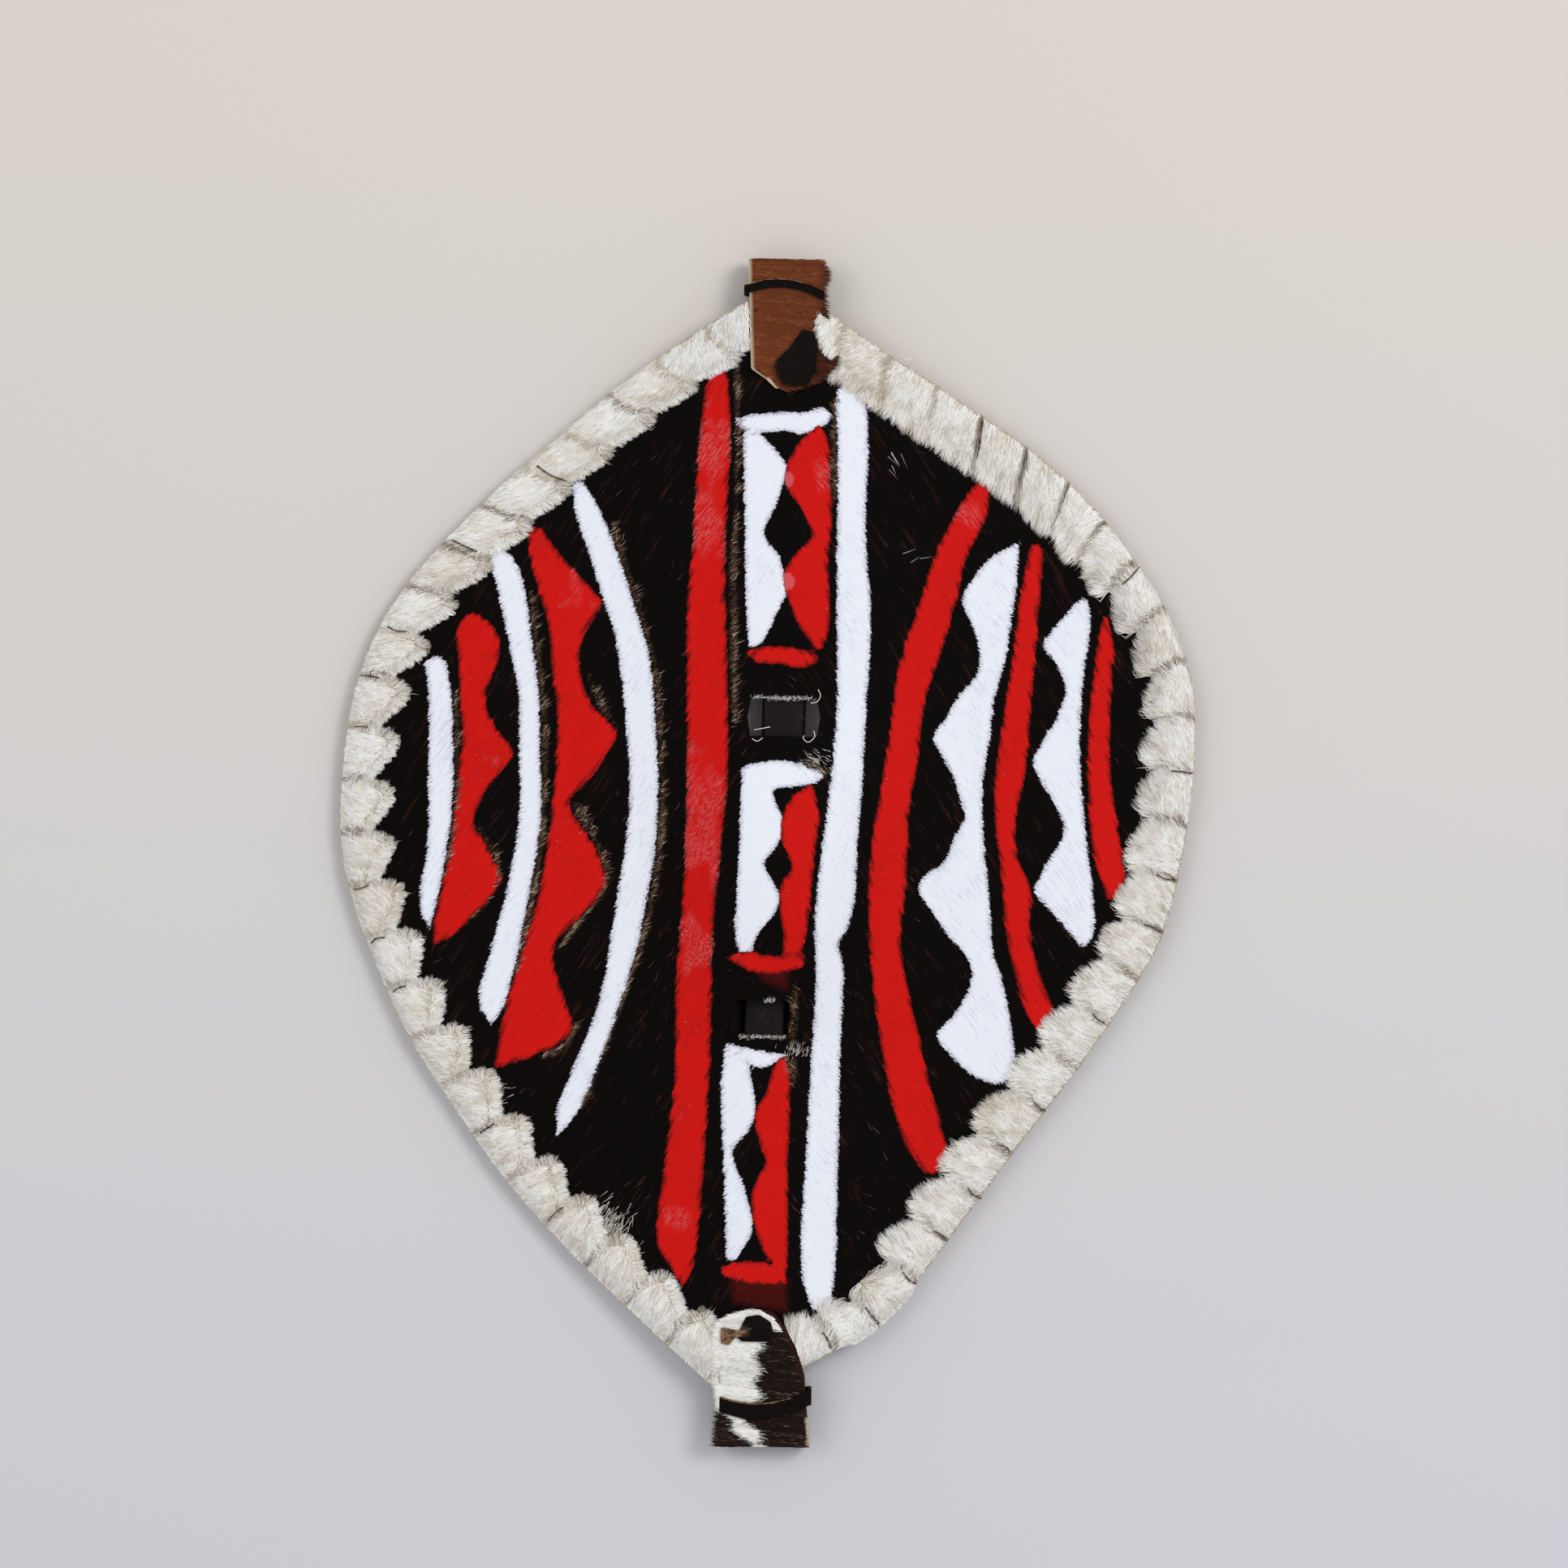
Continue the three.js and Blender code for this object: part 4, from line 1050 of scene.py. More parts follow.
def rim_skin(side, sizes):
    """The binding's skin: a lobed tube along the rim, which the hair stands on."""
    steps, around = TURNS * 16, 16
    obj = grid(f"rim_skin_{side}", around, steps)
    trim = sizes.core_inset / MM
    angle, t = grid_shares(obj)
    angle = angle * 2 * math.pi
    width, half = swell(side, t, trim)
    inset = 0.6 + trim
    inward = inset + (width - inset) * (0.5 - 0.5 * np.cos(angle))
    x, y = rim[side].point(t + binding_shift(side, t, inward), inward)
    put_places(obj, x, y, hide_height(x, y) + half * np.sin(angle))
    bpy.ops.object.mode_set(mode="EDIT")
    bpy.ops.mesh.select_all(action="SELECT")
    bpy.ops.mesh.remove_doubles(threshold=1e-5)
    bpy.ops.mesh.select_all(action="DESELECT")
    bpy.ops.mesh.select_non_manifold()
    bpy.ops.mesh.edge_face_add()
    bpy.ops.mesh.select_all(action="SELECT")
    bpy.ops.mesh.normals_make_consistent(inside=False)
    bpy.ops.object.mode_set(mode="OBJECT")
    for flap in (TOP_FLAP, BOTTOM_FLAP):
        cut_away(obj, plate("flap_room", grown(flap, 0.9), -5, 60))
    x, y, _ = places_of(obj)
    # A quarter of the dark cut-edge colour over all the skin, as painted shade between the hairs.
    keep_value(obj, "seam", np.full(len(x), 0.25))
    smooth(obj, 60)
    return obj


def grown(outline, by):
    """An outline moved outward from its middle."""
    points = np.array(outline, float)
    away = points - points.mean(0)
    size = np.hypot(*away.T)[:, None]
    return points.mean(0) + away * (size + by) / size


# ---- operators -----------------------------------------------------------------------------

def settings(context):
    return context.scene.hide_shield_sizes, context.scene.hide_shield_colours


class SHIELD_OT_painted_panel(bpy.types.Operator):
    """Build the painted cowhide panel with its two windows and the bridges behind the stave"""
    bl_idname = "shield.painted_panel"
    bl_label = "Painted panel"

    def execute(self, context):
        sizes, colours = settings(context)
        cell = sizes.cell / MM
        across = int(max(edge_at("left", 20.0) + edge_at("right", 20.0), 1) / cell)
        along = int((PANEL_TOP - PANEL_BOTTOM) / cell)
        obj = grid("painted_hide", across, along)
        share, row = grid_shares(obj)
        y = PANEL_BOTTOM + (PANEL_TOP - PANEL_BOTTOM) * row
        left, right = -edge_at("left", y), edge_at("right", y)
        x = left + (right - left) * share
        put_places(obj, x, y, hide_height(x, y) - HIDE / 2)
        raise_sheet(obj, (0, 0, HIDE))
        for window in WINDOWS:
            left, right, bottom, top = (window[k] for k in ("left", "right", "bottom", "top"))
            middle = (bottom + top) / 2
            outline = [(left, bottom), (right, bottom), (right + 1.5, middle), (right, top),
                       (left, top), (left - 1.5, middle)]
            cut_away(obj, plate("window_cutter", outline, -5, 60))
            join(obj, self.bridge(window))
        x, y, _ = places_of(obj)
        keep_value(obj, "white", inside_depth(x, y, WHITE_STRIPES))
        keep_value(obj, "red", inside_depth(x, y, RED_STRIPES))
        keep_value(obj, "thin_red", inside_depth(x, y, THIN_RED))
        keep_value(obj, "clipped", line_depth(x, y, CLIPPED))
        keep_value(obj, "rubbed", self.spots(x, y, RUBBED))
        keep_value(obj, "overlap", self.spots(x, y, OVERLAPS))
        smooth(obj, 50)
        hand_over(obj, "black_hide", "hide_panel",
                  materials=[painted_hide(colours), flesh_side(colours)])
        normals = np.empty(len(obj.data.polygons) * 3, np.float32)
        obj.data.polygons.foreach_get("normal", normals)
        index = (normals.reshape(-1, 3)[:, 2] < -0.3).astype(np.int32)
        obj.data.polygons.foreach_set("material_index", index)
        return {"FINISHED"}

    def spots(self, x, y, rows):
        """Soft round spots of (x, y, size), 1 at each middle and 0 away from it."""
        value = np.zeros(len(x))
        for cx, cy, size in rows:
            value = np.maximum(value, np.exp(-((x - cx)**2 + (y - cy)**2) / size**2))
        return value

    def bridge(self, window):
        """The strip of hide between two slits, which passes behind the stave."""
        thick, inside_window, root_out = 2.6, 1.45, 3.2
        y = (window["top"] + window["bottom"]) / 2
        low = STAVE_UNDER - 2 * GAP - thick / 2
        root = float(hide_height(ridge_centre(y), y)) + 0.2
        arm = [(-root_out, root), (-0.4, root - 0.2), (inside_window, root - 3),
               (inside_window, low + 2.2), (inside_window + 0.8, low + 0.6),
               (inside_window + 2.2, low)]
        left, right = window["left"], window["right"]
        route = [(left + x, z) for x, z in arm] + [(right - x, z) for x, z in arm][::-1]
        rows, wide = 8, window["top"] - window["bottom"] - 2 * GAP
        obj = grid("bridge", len(route) - 1, rows)
        share, row = grid_shares(obj)
        step = np.rint(share * (len(route) - 1)).astype(int)
        rx, rz = np.array(route, float).T
        put_places(obj, rx[step], window["bottom"] + GAP + row * wide, rz[step])
        apply_modifier(obj, "SOLIDIFY", thickness=thick * MM, offset=0)
        return obj


class SHIELD_OT_rim_fur(bpy.types.Operator):
    """Lace the rim with strips of pale hair-on hide"""
    bl_idname = "shield.rim_fur"
    bl_label = "Rim fur"

    def execute(self, context):
        sizes, colours = settings(context)
        skin, hair = fur_skin(colours), pale_fur(colours)
        for number, side in enumerate(SIGN):
            obj = rim_skin(side, sizes)
            hand_over(obj, "pale_hair_hide", f"rim_binding_{side}", materials=[skin])
            front = rim_hairs(side, sizes.fur_front, 1, sizes, 11 + number)
            back = rim_hairs(side, sizes.fur_back, -1, sizes, 21 + number)
            for k in range(2):
                hand_over(front.piece(f"rim_hair_{side}_front_{k + 1}", k, 2), "pale_hair_hide",
                          materials=[hair])
            hand_over(back.piece(f"rim_hair_{side}_back"), "pale_hair_hide", materials=[hair])
            edges = cut_edges(side, sizes, 61 + number)
            hand_over(edges.piece(f"rim_cut_edges_{side}"), "pale_hair_hide", materials=[hair])
        return {"FINISHED"}


class SHIELD_OT_stave(bpy.types.Operator):
    """Carve the dark wooden stave that runs behind the panel"""
    bl_idname = "shield.stave"
    bl_label = "Stave"

    def execute(self, context):
        _, colours = settings(context)
        deselect_all()
        bpy.ops.mesh.primitive_cube_add(
            size=1, location=(AXIS_X * MM, 0, (STAVE_UNDER + STAVE_THICK / 2 + LIFT) * MM),
            scale=(STAVE_WIDE * MM, 2 * STAVE_END * MM, STAVE_THICK * MM))
        obj = bpy.context.object
        obj.name = "carved_stave"
        bpy.ops.object.transform_apply(location=True, rotation=False, scale=True)
        round_edges(obj, 2.6, 4)
        bpy.ops.object.mode_set(mode="EDIT")
        cuts = 24
        for k in range(1, cuts):
            bpy.ops.mesh.select_all(action="SELECT")
            bpy.ops.mesh.bisect(plane_co=(0, (2 * k / cuts - 1) * STAVE_END * MM, 0),
                                plane_no=(0, 1, 0))
        bpy.ops.object.mode_set(mode="OBJECT")
        x, y, z = places_of(obj)
        put_places(obj, x + stave_centre(y), y, z)
        smooth(obj, 50)
        hand_over(obj, "dark_wood", "stave", materials=[dark_wood(colours)])
        return {"FINISHED"}


def flap_route(sign, tip, hide_end, back_end=248):
    """Places and heights of a flap's middle, from its tip over the end of the stave and back."""
    end = END - STRIP / 2
    rows = [(sign * tip, OVER_HIDE), (hide_end + 1, OVER_HIDE), (hide_end + 3, OVER_HIDE - 0.7),
            (hide_end + 6, OVER_STAVE + 0.7), (hide_end + 8, OVER_STAVE), (end - 4, OVER_STAVE),
            (end - 1.2, OVER_STAVE - 1.2), (end, OVER_STAVE - 4), (end, BEHIND + 4),
            (end - 1.2, BEHIND + 1.2), (end - 4, BEHIND), (back_end, BEHIND)]
    return np.array([(sign * y, z) for y, z in rows], float)


def flap_edges(outline):
    """Left and right edge of a flap at a place along the shield."""
    fine = np.vstack([np.linspace(a, b, 90, endpoint=False)
                      for a, b in zip(outline, np.roll(outline, -1, axis=0))])

    def at(y):
        y = np.asarray(y, float)
        left, right = np.empty_like(y), np.empty_like(y)
        for k, place in enumerate(y):
            near = fine[np.abs(fine[:, 1] - place) < 1.6]
            left[k], right[k] = near[:, 0].min(), near[:, 0].max()
        return left, right
    return at


# The pale cut side of a flap is this wide: on the left at the top, and on the right at the
# bottom, where only its low end is bare.
CUT_SIDE = 1.5
BARE_BELOW = -284


def flap_sheet(name, outline, sign, hide_end):
    """A strip of hide folded over one end of the stave."""
    outline = np.array(outline, float)
    tip = outline[:, 1].min() if sign == 1 else outline[:, 1].max()
    route = flap_route(sign, tip + sign * 0.3, hide_end)
    steps = np.concatenate([[0], np.cumsum(np.hypot(*np.diff(route, axis=0).T))])
    obj = grid(name, 18, 110)
    share, row = grid_shares(obj)
    y = np.interp(row * steps[-1], steps, route[:, 0])
    z = np.interp(row * steps[-1], steps, route[:, 1])
    left, right = flap_edges(outline)(np.clip(y, outline[:, 1].min(), outline[:, 1].max()))
    put_places(obj, left + (right - left) * share, y, z)
    from_cut = (right - left) * (share if sign == 1 else 1 - share)
    bare = (from_cut < CUT_SIDE) & (z > STAVE_UNDER)
    keep_value(obj, "bare", bare if sign == 1 else bare & (y < BARE_BELOW))
    apply_modifier(obj, "SOLIDIFY", thickness=STRIP * MM, offset=0)
    edit_all(bpy.ops.mesh.normals_make_consistent, inside=False)
    smooth(obj, 50)
    return obj


def flap_top(sign, y, hide_end):
    """Height of a flap's hairy face at a place along the shield."""
    return np.interp(sign * y, [hide_end + 1, hide_end + 8, 295, END], [OVER_HIDE, OVER_STAVE,
                     OVER_STAVE, OVER_STAVE - 3]) + STRIP / 2


def combed(roots, angle, reach, height, rng, width, normal=(0, 0, 1), rise=(-0.2, 0.4, 0.7),
           tuft=2.6, **values):
    """Hairs over a face, combed along an angle in plan; height gives the face under a place."""
    x, y = roots
    dx, dy = np.cos(angle) * reach, np.sin(angle) * reach
    points = []
    for share, raised in zip((0, 0.5, 1), rise):
        px, py = x + dx * share, y + dy * share
        pz = height(px, py) + raised * rng.uniform(0.4, 1.2, len(x))
        points.append(np.column_stack([px, np.clip(py, -END, END), pz]))
    points[2], _ = gathered(points[0][:, :2], points[2], tuft, 0.2)
    return Hairs(*points, width, normal, **values)


def scattered(outline, count, rng, margin=0.6):
    """Random places inside an outline, in plan."""
    outline = np.array(outline, float)
    x, y = (rng.uniform(outline[:, k].min(), outline[:, k].max(), count) for k in (0, 1))
    chosen = inside_depth(x, y, [outline]) > margin
    return x[chosen], y[chosen]


def flap_hairs(outline, sign, hide_end, count, angle, seed, look):
    """Hair over the front of a flap, combed one way; the top flap's left edge stays bare."""
    rng = np.random.default_rng(seed)
    x, y = scattered(outline, count, rng, 0.1)
    left = flap_edges(outline)(y)[0]
    haired = x - left > (1.4 if sign == 1 else -1)
    x, y = x[haired], y[haired]
    tone, dark = look(x, y, rng)
    streaks = np.interp(y * 1.7 + 0.15 * x, *wavy(seed)) * 0.16
    tone = tone + streaks + rng.normal(0, 0.12, len(x))
    turn = np.radians(angle + 6 * np.sin(y * 0.13) + rng.normal(0, 8, len(x)))
    return combed((x, y), turn, rng.uniform(4, 7, len(x)),
                  lambda px, py: flap_top(sign, py, hide_end), rng,
                  rng.uniform(0.28, 0.44, len(x)), tone=np.clip(tone, 0, 1), dark=dark)


def wavy(seed):
    """A random smooth line, as places and values from -1 to 1."""
    rng = np.random.default_rng(seed)
    return np.arange(-600, 601) * 1.0, np.convolve(rng.uniform(-1, 1, 1201), np.ones(2) / 2, "same")


class SHIELD_OT_end_flaps(bpy.types.Operator):
    """Fold a flap of hair-on hide over each end of the stave"""
    bl_idname = "shield.end_flaps"
    bl_label = "End flaps"

    def execute(self, context):
        _, colours = settings(context)
        top = flap_sheet("top_flap_hide", TOP_FLAP, 1, PANEL_TOP)
        hand_over(top, "brown_hair_hide", "top_flap",
                  materials=[flap_skin("Skin of the top flap", colours, colours.chestnut)])
        hairs = flap_hairs(TOP_FLAP, 1, PANEL_TOP, 22000, -8, 31, self.chestnut)
        hand_over(hairs.piece("top_flap_hair"), "brown_hair_hide",
                  materials=[flap_hair("Chestnut hair", colours,
                                       (colours.chestnut_dark, colours.chestnut,
                                        colours.chestnut_light))])
        bottom = flap_sheet("bottom_flap_hide", BOTTOM_FLAP, -1, -PANEL_BOTTOM)
        hand_over(bottom, "pied_hair_hide", "bottom_flap",
                  materials=[flap_skin("Skin of the bottom flap", colours, colours.hide_brown)])
        hairs = flap_hairs(BOTTOM_FLAP, -1, -PANEL_BOTTOM, 26000, 176, 32, self.pied)
        hand_over(hairs.piece("bottom_flap_hair"), "pied_hair_hide",
                  materials=[flap_hair("Pied hair", colours,
                                       (colours.hide_black, colours.fur_grey_and_shade,
                                        colours.fur_light))])
        return {"FINISHED"}

    def chestnut(self, x, y, rng):
        # The hair grows darker towards the flap's right edge: painted shade where that edge curves
        # back.
        edge = smooth_step(10, 17, x - (y - 262) * 0.08)
        return 0.5 - 0.35 * edge, edge * rng.uniform(0, 1, len(x))

    def pied(self, x, y, rng):
        """White over most of the flap, a dark right half, and a white bar over the dark end."""
        ragged = rng.normal(0, 1.2, len(x)) + 2 * np.sin(y * 0.5)
        dark_half = (x > -1 + ragged) & (y < -241) & (y > -277)
        end = y < -277
        bar_line = np.abs(x + 9 + (y + 289) * 0.8)
        white = ~dark_half & ~(end & (bar_line + ragged * 0.8 > 4.5))
        return np.where(white, 0.95, -0.1), np.where(white, 0.0, rng.uniform(0, 0.7, len(x)))


class SHIELD_OT_ties_and_thongs(bpy.types.Operator):
    """Tie a thong round each flap and push a thong end through it"""
    bl_idname = "shield.ties_and_thongs"
    bl_label = "Ties and thongs"

    def execute(self, context):
        _, colours = settings(context)
        leather = cut_leather("Dark thong", colours, colours.thong)
        for name, spec in (("top_tie", TOP_TIE), ("bottom_tie", BOTTOM_TIE)):
            hand_over(self.tie(f"{name}_band", spec), "dark_thong", name, materials=[leather])
        low = OVER_HIDE + STRIP / 2 + GAP
        for name, outline in (("top_thong", TOP_THONG), ("bottom_thong", BOTTOM_THONG)):
            obj = plate(f"{name}_end", outline, low, low + 1.8)
            round_edges(obj, 0.7, 3, 30)
            keep_value(obj, "suede", (places_of(obj)[0] < -14.5) * 0.9)
            smooth(obj, 50)
            hand_over(obj, "dark_thong", name, materials=[leather])
        self.tuft(low + 1.8, colours)
        return {"FINISHED"}

    def tuft(self, height, colours):
        """Black hair on the top thong's end, spreading down from its point."""
        rng = np.random.default_rng(41)
        x, y = scattered(TOP_THONG, 3600, rng, 0.3)
        angle = np.arctan2(y - 272, x - 11.5) + rng.normal(0, 0.25, len(x))
        hairs = combed((x, y), angle, rng.uniform(3, 7.5, len(x)),
                       lambda px, py: np.full(len(px), height), rng,
                       rng.uniform(0.25, 0.4, len(x)), rise=(0, 0.7, 0.3),
                       tone=np.clip(rng.normal(-0.05, 0.12, len(x)), 0, 1),
                       dark=np.zeros(len(x)))
        hand_over(hairs.piece("top_thong_hair"), "dark_thong",
                  materials=[flap_hair("Black thong hair", colours,
                                       (colours.hide_black, colours.chestnut_dark,
                                        colours.tan_dark))])

    def tie(self, name, spec):
        """A flat thong tied round a flap and the stave in it, bowed along the front."""
        left, right, wide, thick = (spec[k] for k in ("left", "right", "wide", "thick"))
        first, last = spec["ends"]
        front = OVER_STAVE + STRIP / 2 + GAP + thick / 2
        back = BEHIND - STRIP / 2 - GAP - thick / 2
        share = np.linspace(0, 1, 15)
        corner = 0.8
        bow = 4 * share * (1 - share) * (spec["peak"] - (first + last) / 2)
        x = left + corner + (right - left - 2 * corner) * share
        loop = list(zip(x, first + (last - first) * share + bow, np.full(15, front)))
        loop += [(right, last, front - corner), (right, last, back + corner),
                 (right - corner, last, back), (left + corner, first, back),
                 (left, first, back + corner), (left, first, front - corner)]
        loop = np.array(loop + loop[:1], float)
        obj = grid(name, 4, len(loop) - 1)
        across, row = grid_shares(obj)
        step = np.rint(row * (len(loop) - 1)).astype(int)
        place = loop[step]
        put_places(obj, place[:, 0], place[:, 1] + (across - 0.5) * wide, place[:, 2])
        keep_value(obj, "suede", (across > 0.9) * np.where(place[:, 0] < 12, 0.9, 0))
        edit_all(bpy.ops.mesh.remove_doubles, threshold=1e-5)
        apply_modifier(obj, "SOLIDIFY", thickness=thick * MM, offset=0)
        edit_all(bpy.ops.mesh.normals_make_consistent, inside=False)
        smooth(obj, 40)
        return obj


# Fallen or broken hairs in the two windows, as lines of (x, y) from one end to the other.
WINDOW_CURLS = [
    [(19.9, 83), (21, 79.6), (19.2, 76.6), (16.2, 76)],
    [(17.9, 61.9), (18.4, 59), (15, 56.2), (12.6, 58.5), (13.2, 59.5)],
    [(-13.1, 57.6), (-10.6, 56.3), (-7.7, 58)],
    [(-12.2, 62), (-4.1, 63.6)],
]
# Frayed hair at the edges of the windows: from x, to x, y, hairs.
FRAYED = [(-6, 18, 78, 170), (-14, -6, 78.5, 40), (-5, 0, -74, 40), (-18, 6, -93, 150)]
# Tufts and patches of pale hair that lie on the black: x, y, spread, hairs, angle, length.
PALE_TUFTS = [(-84, -186, 7, 260, 235, 7), (54, 200, 3, 6, -50, 8), (62, 150, 3, 3, 20, 7),
              (-140, -122, 5, 40, 200, 5), (12, -100, 3, 60, 70, 3), (60, 250, 3, 40, 200, 4),
              (20, 47, 4, 60, 150, 3)]


def hide_top(x, y):
    return hide_height(x, y) + HIDE / 2


class SHIELD_OT_loose_hairs(bpy.types.Operator):
    """Scatter clipped, broken and stray hairs over the panel and in its windows"""
    bl_idname = "shield.loose_hairs"
    bl_label = "Loose hairs"

    def execute(self, context):
        _, colours = settings(context)
        rng = np.random.default_rng(51)
        clipped = flap_hair("Clipped hair beside the paint", colours,
                            (colours.tan_dark, colours.tan, colours.fur))
        hand_over(self.fringe(rng).piece("clipped_hair"), "black_hide", materials=[clipped])
        hand_over(self.strands(rng).piece("brown_strands"), "black_hide", materials=[clipped])
        pale = flap_hair("Stray pale hair", colours, (colours.fur_grey_and_shade, colours.fur,
                                                      colours.fur_light))
        hand_over(self.tufts(rng).piece("pale_tufts"), "pale_hair_hide", materials=[pale])
        for number, points in enumerate(WINDOW_CURLS):
            hand_over(self.curl(f"window_curl_{number + 1}", points), "pale_hair_hide",
                      materials=[pale])
        return {"FINISHED"}

    def fringe(self, rng):
        """Short clipped hair along the margins of the stripes."""
        rows = []
        for points, half in CLIPPED:
            line = smooth_line(points, 12)
            steps = np.concatenate([[0], np.cumsum(np.hypot(*np.diff(line, axis=0).T))])
            count = int(steps[-1] * 3.2)
            place = rng.uniform(0, steps[-1], count)
            patchy = np.interp(place * 0.3, *wavy(int(half * 10) + count)) > -0.15
            off = rng.normal(0, half * 0.6, count)
            x, y = (np.interp(place, steps, line[:, k]) + off for k in (0, 1))
            rows.append(np.column_stack([x, y])[patchy])
        x, y = np.vstack(rows).T
        left = np.clip(x / 25, -1, 1) < 0
        angle = np.radians(np.where(left, 38, 142) + rng.normal(0, 18, len(x)))
        tone = rng.uniform(0.0, 0.9, len(x))**1.4
        return combed((x, y), angle, rng.uniform(1.8, 4.6, len(x)), hide_top, rng,
                      rng.uniform(0.16, 0.3, len(x)), rise=(0, 0.3, 0.35), tuft=1.6,
                      tone=tone, dark=rng.uniform(0, 0.5, len(x)))

    def strands(self, rng):
        """Single brown and tan strands in the black hair."""
        count = 2600
        y = rng.uniform(-235, 250, count)
        x = rng.uniform(-1, 1, count)
        side = np.where(x < 0, edge_at("left", y), edge_at("right", y))
        x = x * (side - 18)
        painted = np.maximum(inside_depth(x, y, WHITE_STRIPES), inside_depth(x, y, RED_STRIPES))
        clump = np.sin(x * 0.21 + 1.3 * np.sin(y * 0.11)) * np.sin(y * 0.17 + x * 0.05)
        chosen = (painted < -0.8) & (clump > 0.25) & (np.abs(x) > 3)
        x, y = x[chosen], y[chosen]
        angle = np.radians(np.where(x < 0, 48, 132) + rng.normal(0, 14, len(x)))
        tone = rng.uniform(0, 0.34, len(x)) * (rng.uniform(0, 1, len(x)) < 0.6)
        return combed((x, y), angle, rng.uniform(2.5, 6, len(x)), hide_top, rng,
                      rng.uniform(0.14, 0.26, len(x)), rise=(0, 0.25, 0.25), tuft=3,
                      tone=tone, dark=np.full(len(x), 0.4))

    def tufts(self, rng):
        """Patches of pale hair on the black, and the frayed edges of the windows."""
        rows = []
        for x, y, spread, count, angle, reach in PALE_TUFTS:
            rows.append(np.column_stack([rng.normal(x, spread, count),
                                         rng.normal(y, spread * 0.7, count),
                                         rng.normal(angle, 16, count),
                                         rng.uniform(0.5, 1.1, count) * reach]))
        for start, stop, y, count in FRAYED:
            rows.append(np.column_stack([rng.uniform(start, stop, count),
                                         rng.normal(y, 0.5, count),
                                         rng.normal(60, 50, count),
                                         rng.uniform(0.8, 2.2, count)]))
        x, y, angle, reach = np.vstack(rows).T
        tone = rng.uniform(0.1, 0.9, len(x))
        return combed((x, y), np.radians(angle), reach, hide_top, rng,
                      rng.uniform(0.12, 0.24, len(x)), rise=(0, 0.5, 0.5), tuft=2,
                      tone=tone, dark=rng.uniform(0, 0.4, len(x)))

    def curl(self, name, points):
        """One curled hair as a thin round strand just above the hide."""
        line = smooth_line(points, 6)
        x, y = line.T
        curve = bpy.data.curves.new(name, "CURVE")
        curve.dimensions = "3D"
        curve.bevel_depth = 0.18 * MM
        curve.bevel_resolution = 1
        spline = curve.splines.new("POLY")
        spline.points.add(len(x) - 1)
        places = to_metres(x, y, hide_top(x, y) + 0.5)
        spline.points.foreach_set("co", np.column_stack([places, np.ones(len(x))]).ravel())
        obj = bpy.data.objects.new(name, curve)
        bpy.context.scene.collection.objects.link(obj)
        deselect_all()
        obj.select_set(True)
        bpy.context.view_layer.objects.active = obj
        bpy.ops.object.convert(target="MESH")
        obj = bpy.context.object
        keep_value(obj, "tone", np.full(len(obj.data.vertices), 0.6))
        keep_value(obj, "dark", np.zeros(len(obj.data.vertices)))
        return obj


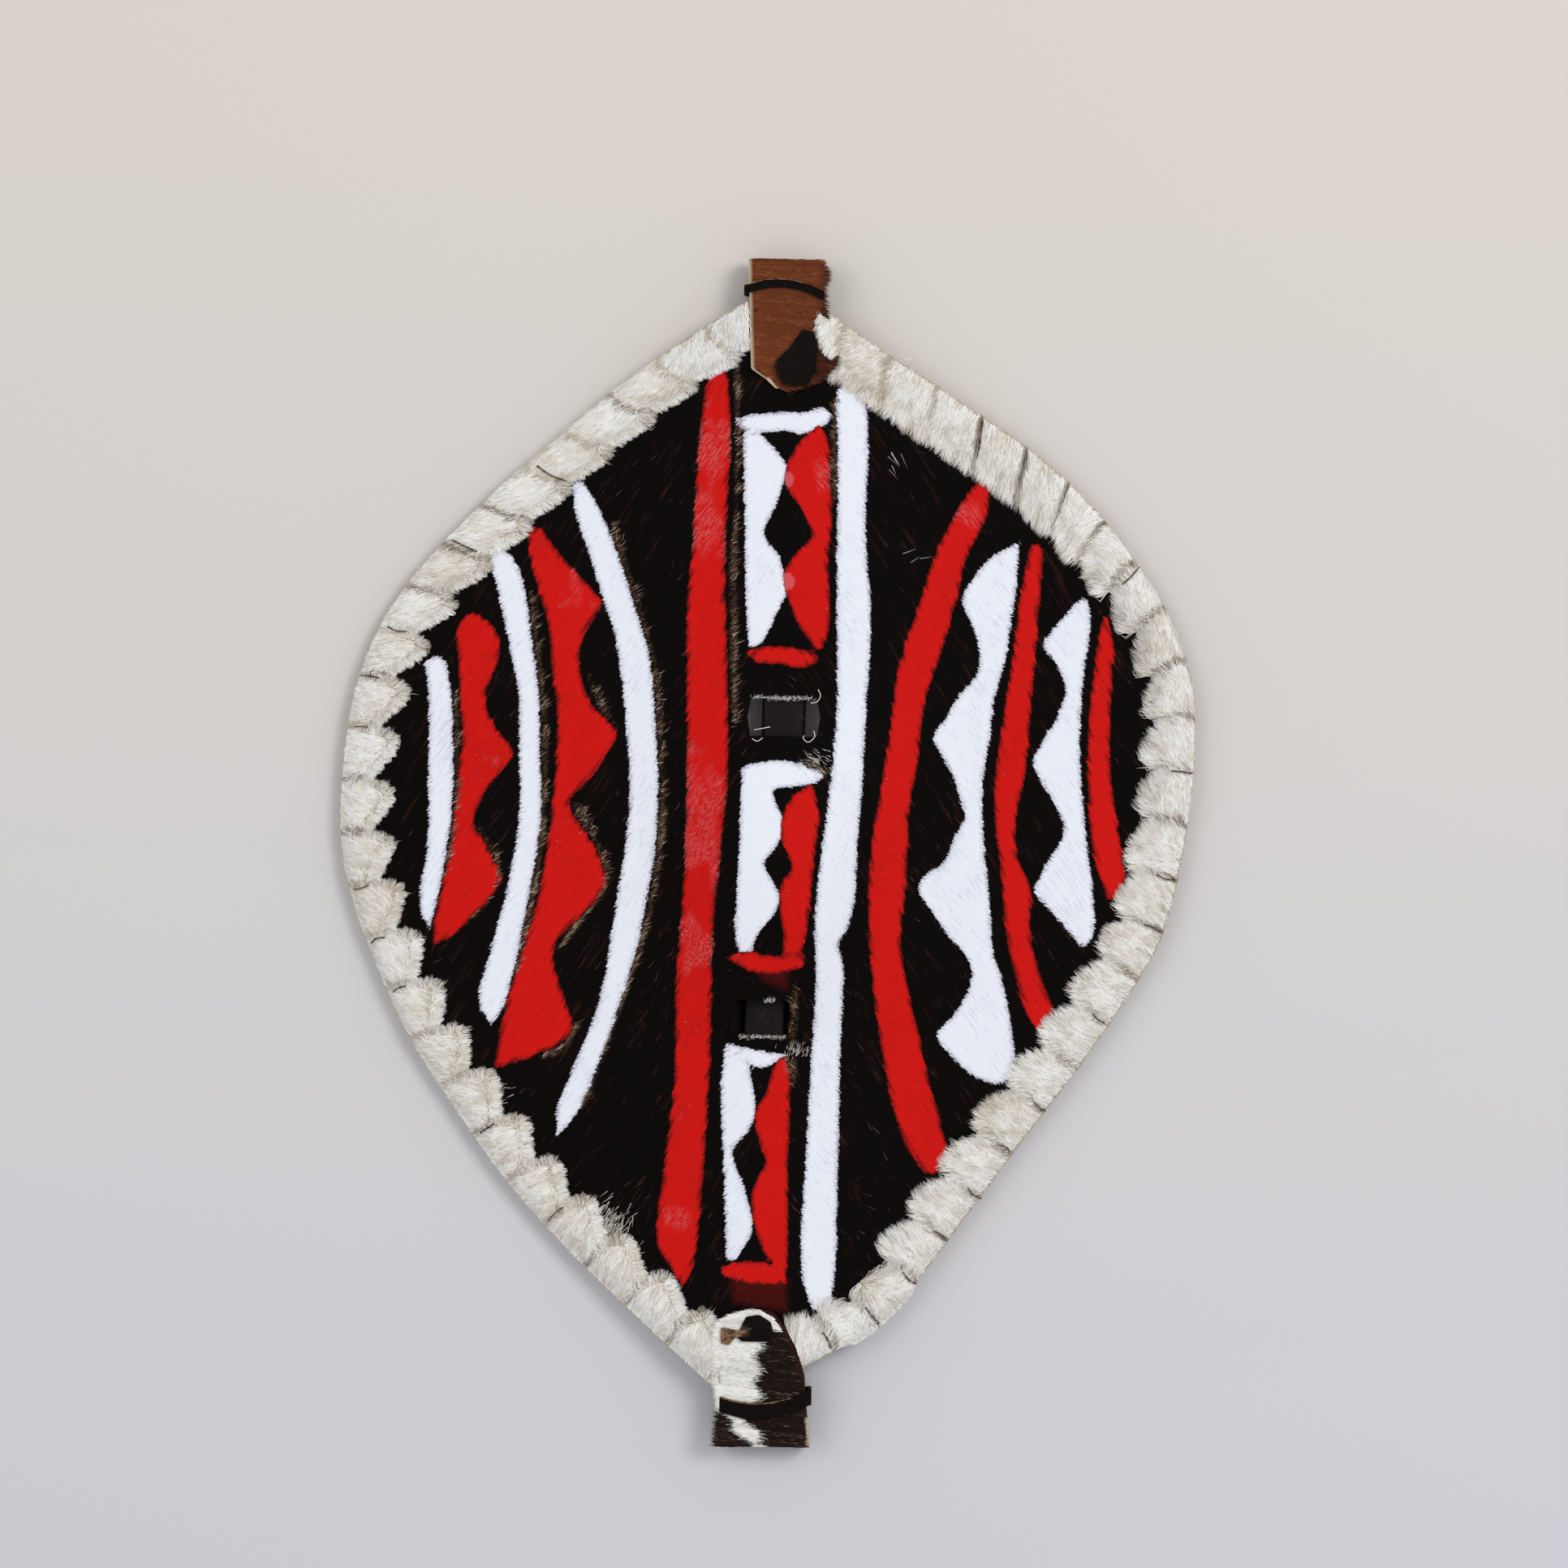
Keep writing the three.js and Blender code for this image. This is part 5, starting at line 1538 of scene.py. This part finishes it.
class SHIELD_OT_stage(bpy.types.Operator):
    """Set the floor, soft studio lights and the camera looking straight down"""
    bl_idname = "shield.stage"
    bl_label = "Stage"

    def execute(self, context):
        _, colours = settings(context)
        scene = context.scene
        scene.view_settings.view_transform = "Standard"
        deselect_all()
        bpy.ops.mesh.primitive_plane_add(size=8, location=(0, 0, -0.0005))
        floor = context.object
        floor.name = "studio_floor"
        floor.data.materials.append(pale_floor(colours))
        world = bpy.data.worlds.new("Studio air")
        world.use_nodes = True
        world.node_tree.nodes["Background"].inputs["Color"].default_value = (0.95, 0.97, 1, 1)
        world.node_tree.nodes["Background"].inputs["Strength"].default_value = 0.6
        scene.world = world
        self.light("Key", (2.2, 1.3, 3.2), 1.6, 62)
        self.light("Fill", (-2.4, 0.9, 3.0), 2.4, 26)
        bpy.ops.object.camera_add(location=(0.0068, 0.035, 3.2),
                                  rotation=(0, 0, math.radians(0.9)))
        camera = context.object
        camera.data.sensor_width = 36
        camera.data.lens = 36 * 3.2 / 0.795
        scene.camera = camera
        return {"FINISHED"}

    def light(self, name, place, size, power):
        bpy.ops.object.light_add(type="AREA", location=place)
        light = bpy.context.object
        light.name = name
        light.data.size = size
        light.data.energy = power
        away = light.location.normalized()
        light.rotation_euler = away.to_track_quat("Z", "Y").to_euler()


class VIEW3D_PT_hide_shield(bpy.types.Panel):
    """The shield's pieces, in the order they are built"""
    bl_label = "Hide shield"
    bl_idname = "VIEW3D_PT_hide_shield"
    bl_space_type = "VIEW_3D"
    bl_region_type = "UI"
    bl_category = "Shield"

    def draw(self, context):
        column = self.layout.column()
        for operator in OPERATORS:
            column.operator(operator.bl_idname)
        for group in settings(context):
            box = self.layout.box()
            for name in group.__annotations__:
                box.prop(group, name)


OPERATORS = [SHIELD_OT_painted_panel, SHIELD_OT_rim_fur, SHIELD_OT_stave, SHIELD_OT_end_flaps,
             SHIELD_OT_ties_and_thongs, SHIELD_OT_loose_hairs, SHIELD_OT_stage]
CLASSES = [ShieldSizes, ShieldColours, *OPERATORS, VIEW3D_PT_hide_shield]


def register():
    for cls in CLASSES:
        bpy.utils.register_class(cls)
    bpy.types.Scene.hide_shield_sizes = PointerProperty(type=ShieldSizes)
    bpy.types.Scene.hide_shield_colours = PointerProperty(type=ShieldColours)


def unregister():
    del bpy.types.Scene.hide_shield_colours
    del bpy.types.Scene.hide_shield_sizes
    for cls in reversed(CLASSES):
        bpy.utils.unregister_class(cls)


def main():
    register()
    bpy.ops.shield.painted_panel()
    bpy.ops.shield.rim_fur()
    bpy.ops.shield.stave()
    bpy.ops.shield.end_flaps()
    bpy.ops.shield.ties_and_thongs()
    bpy.ops.shield.loose_hairs()
    bpy.ops.shield.stage()


if __name__ == "__main__":
    main()
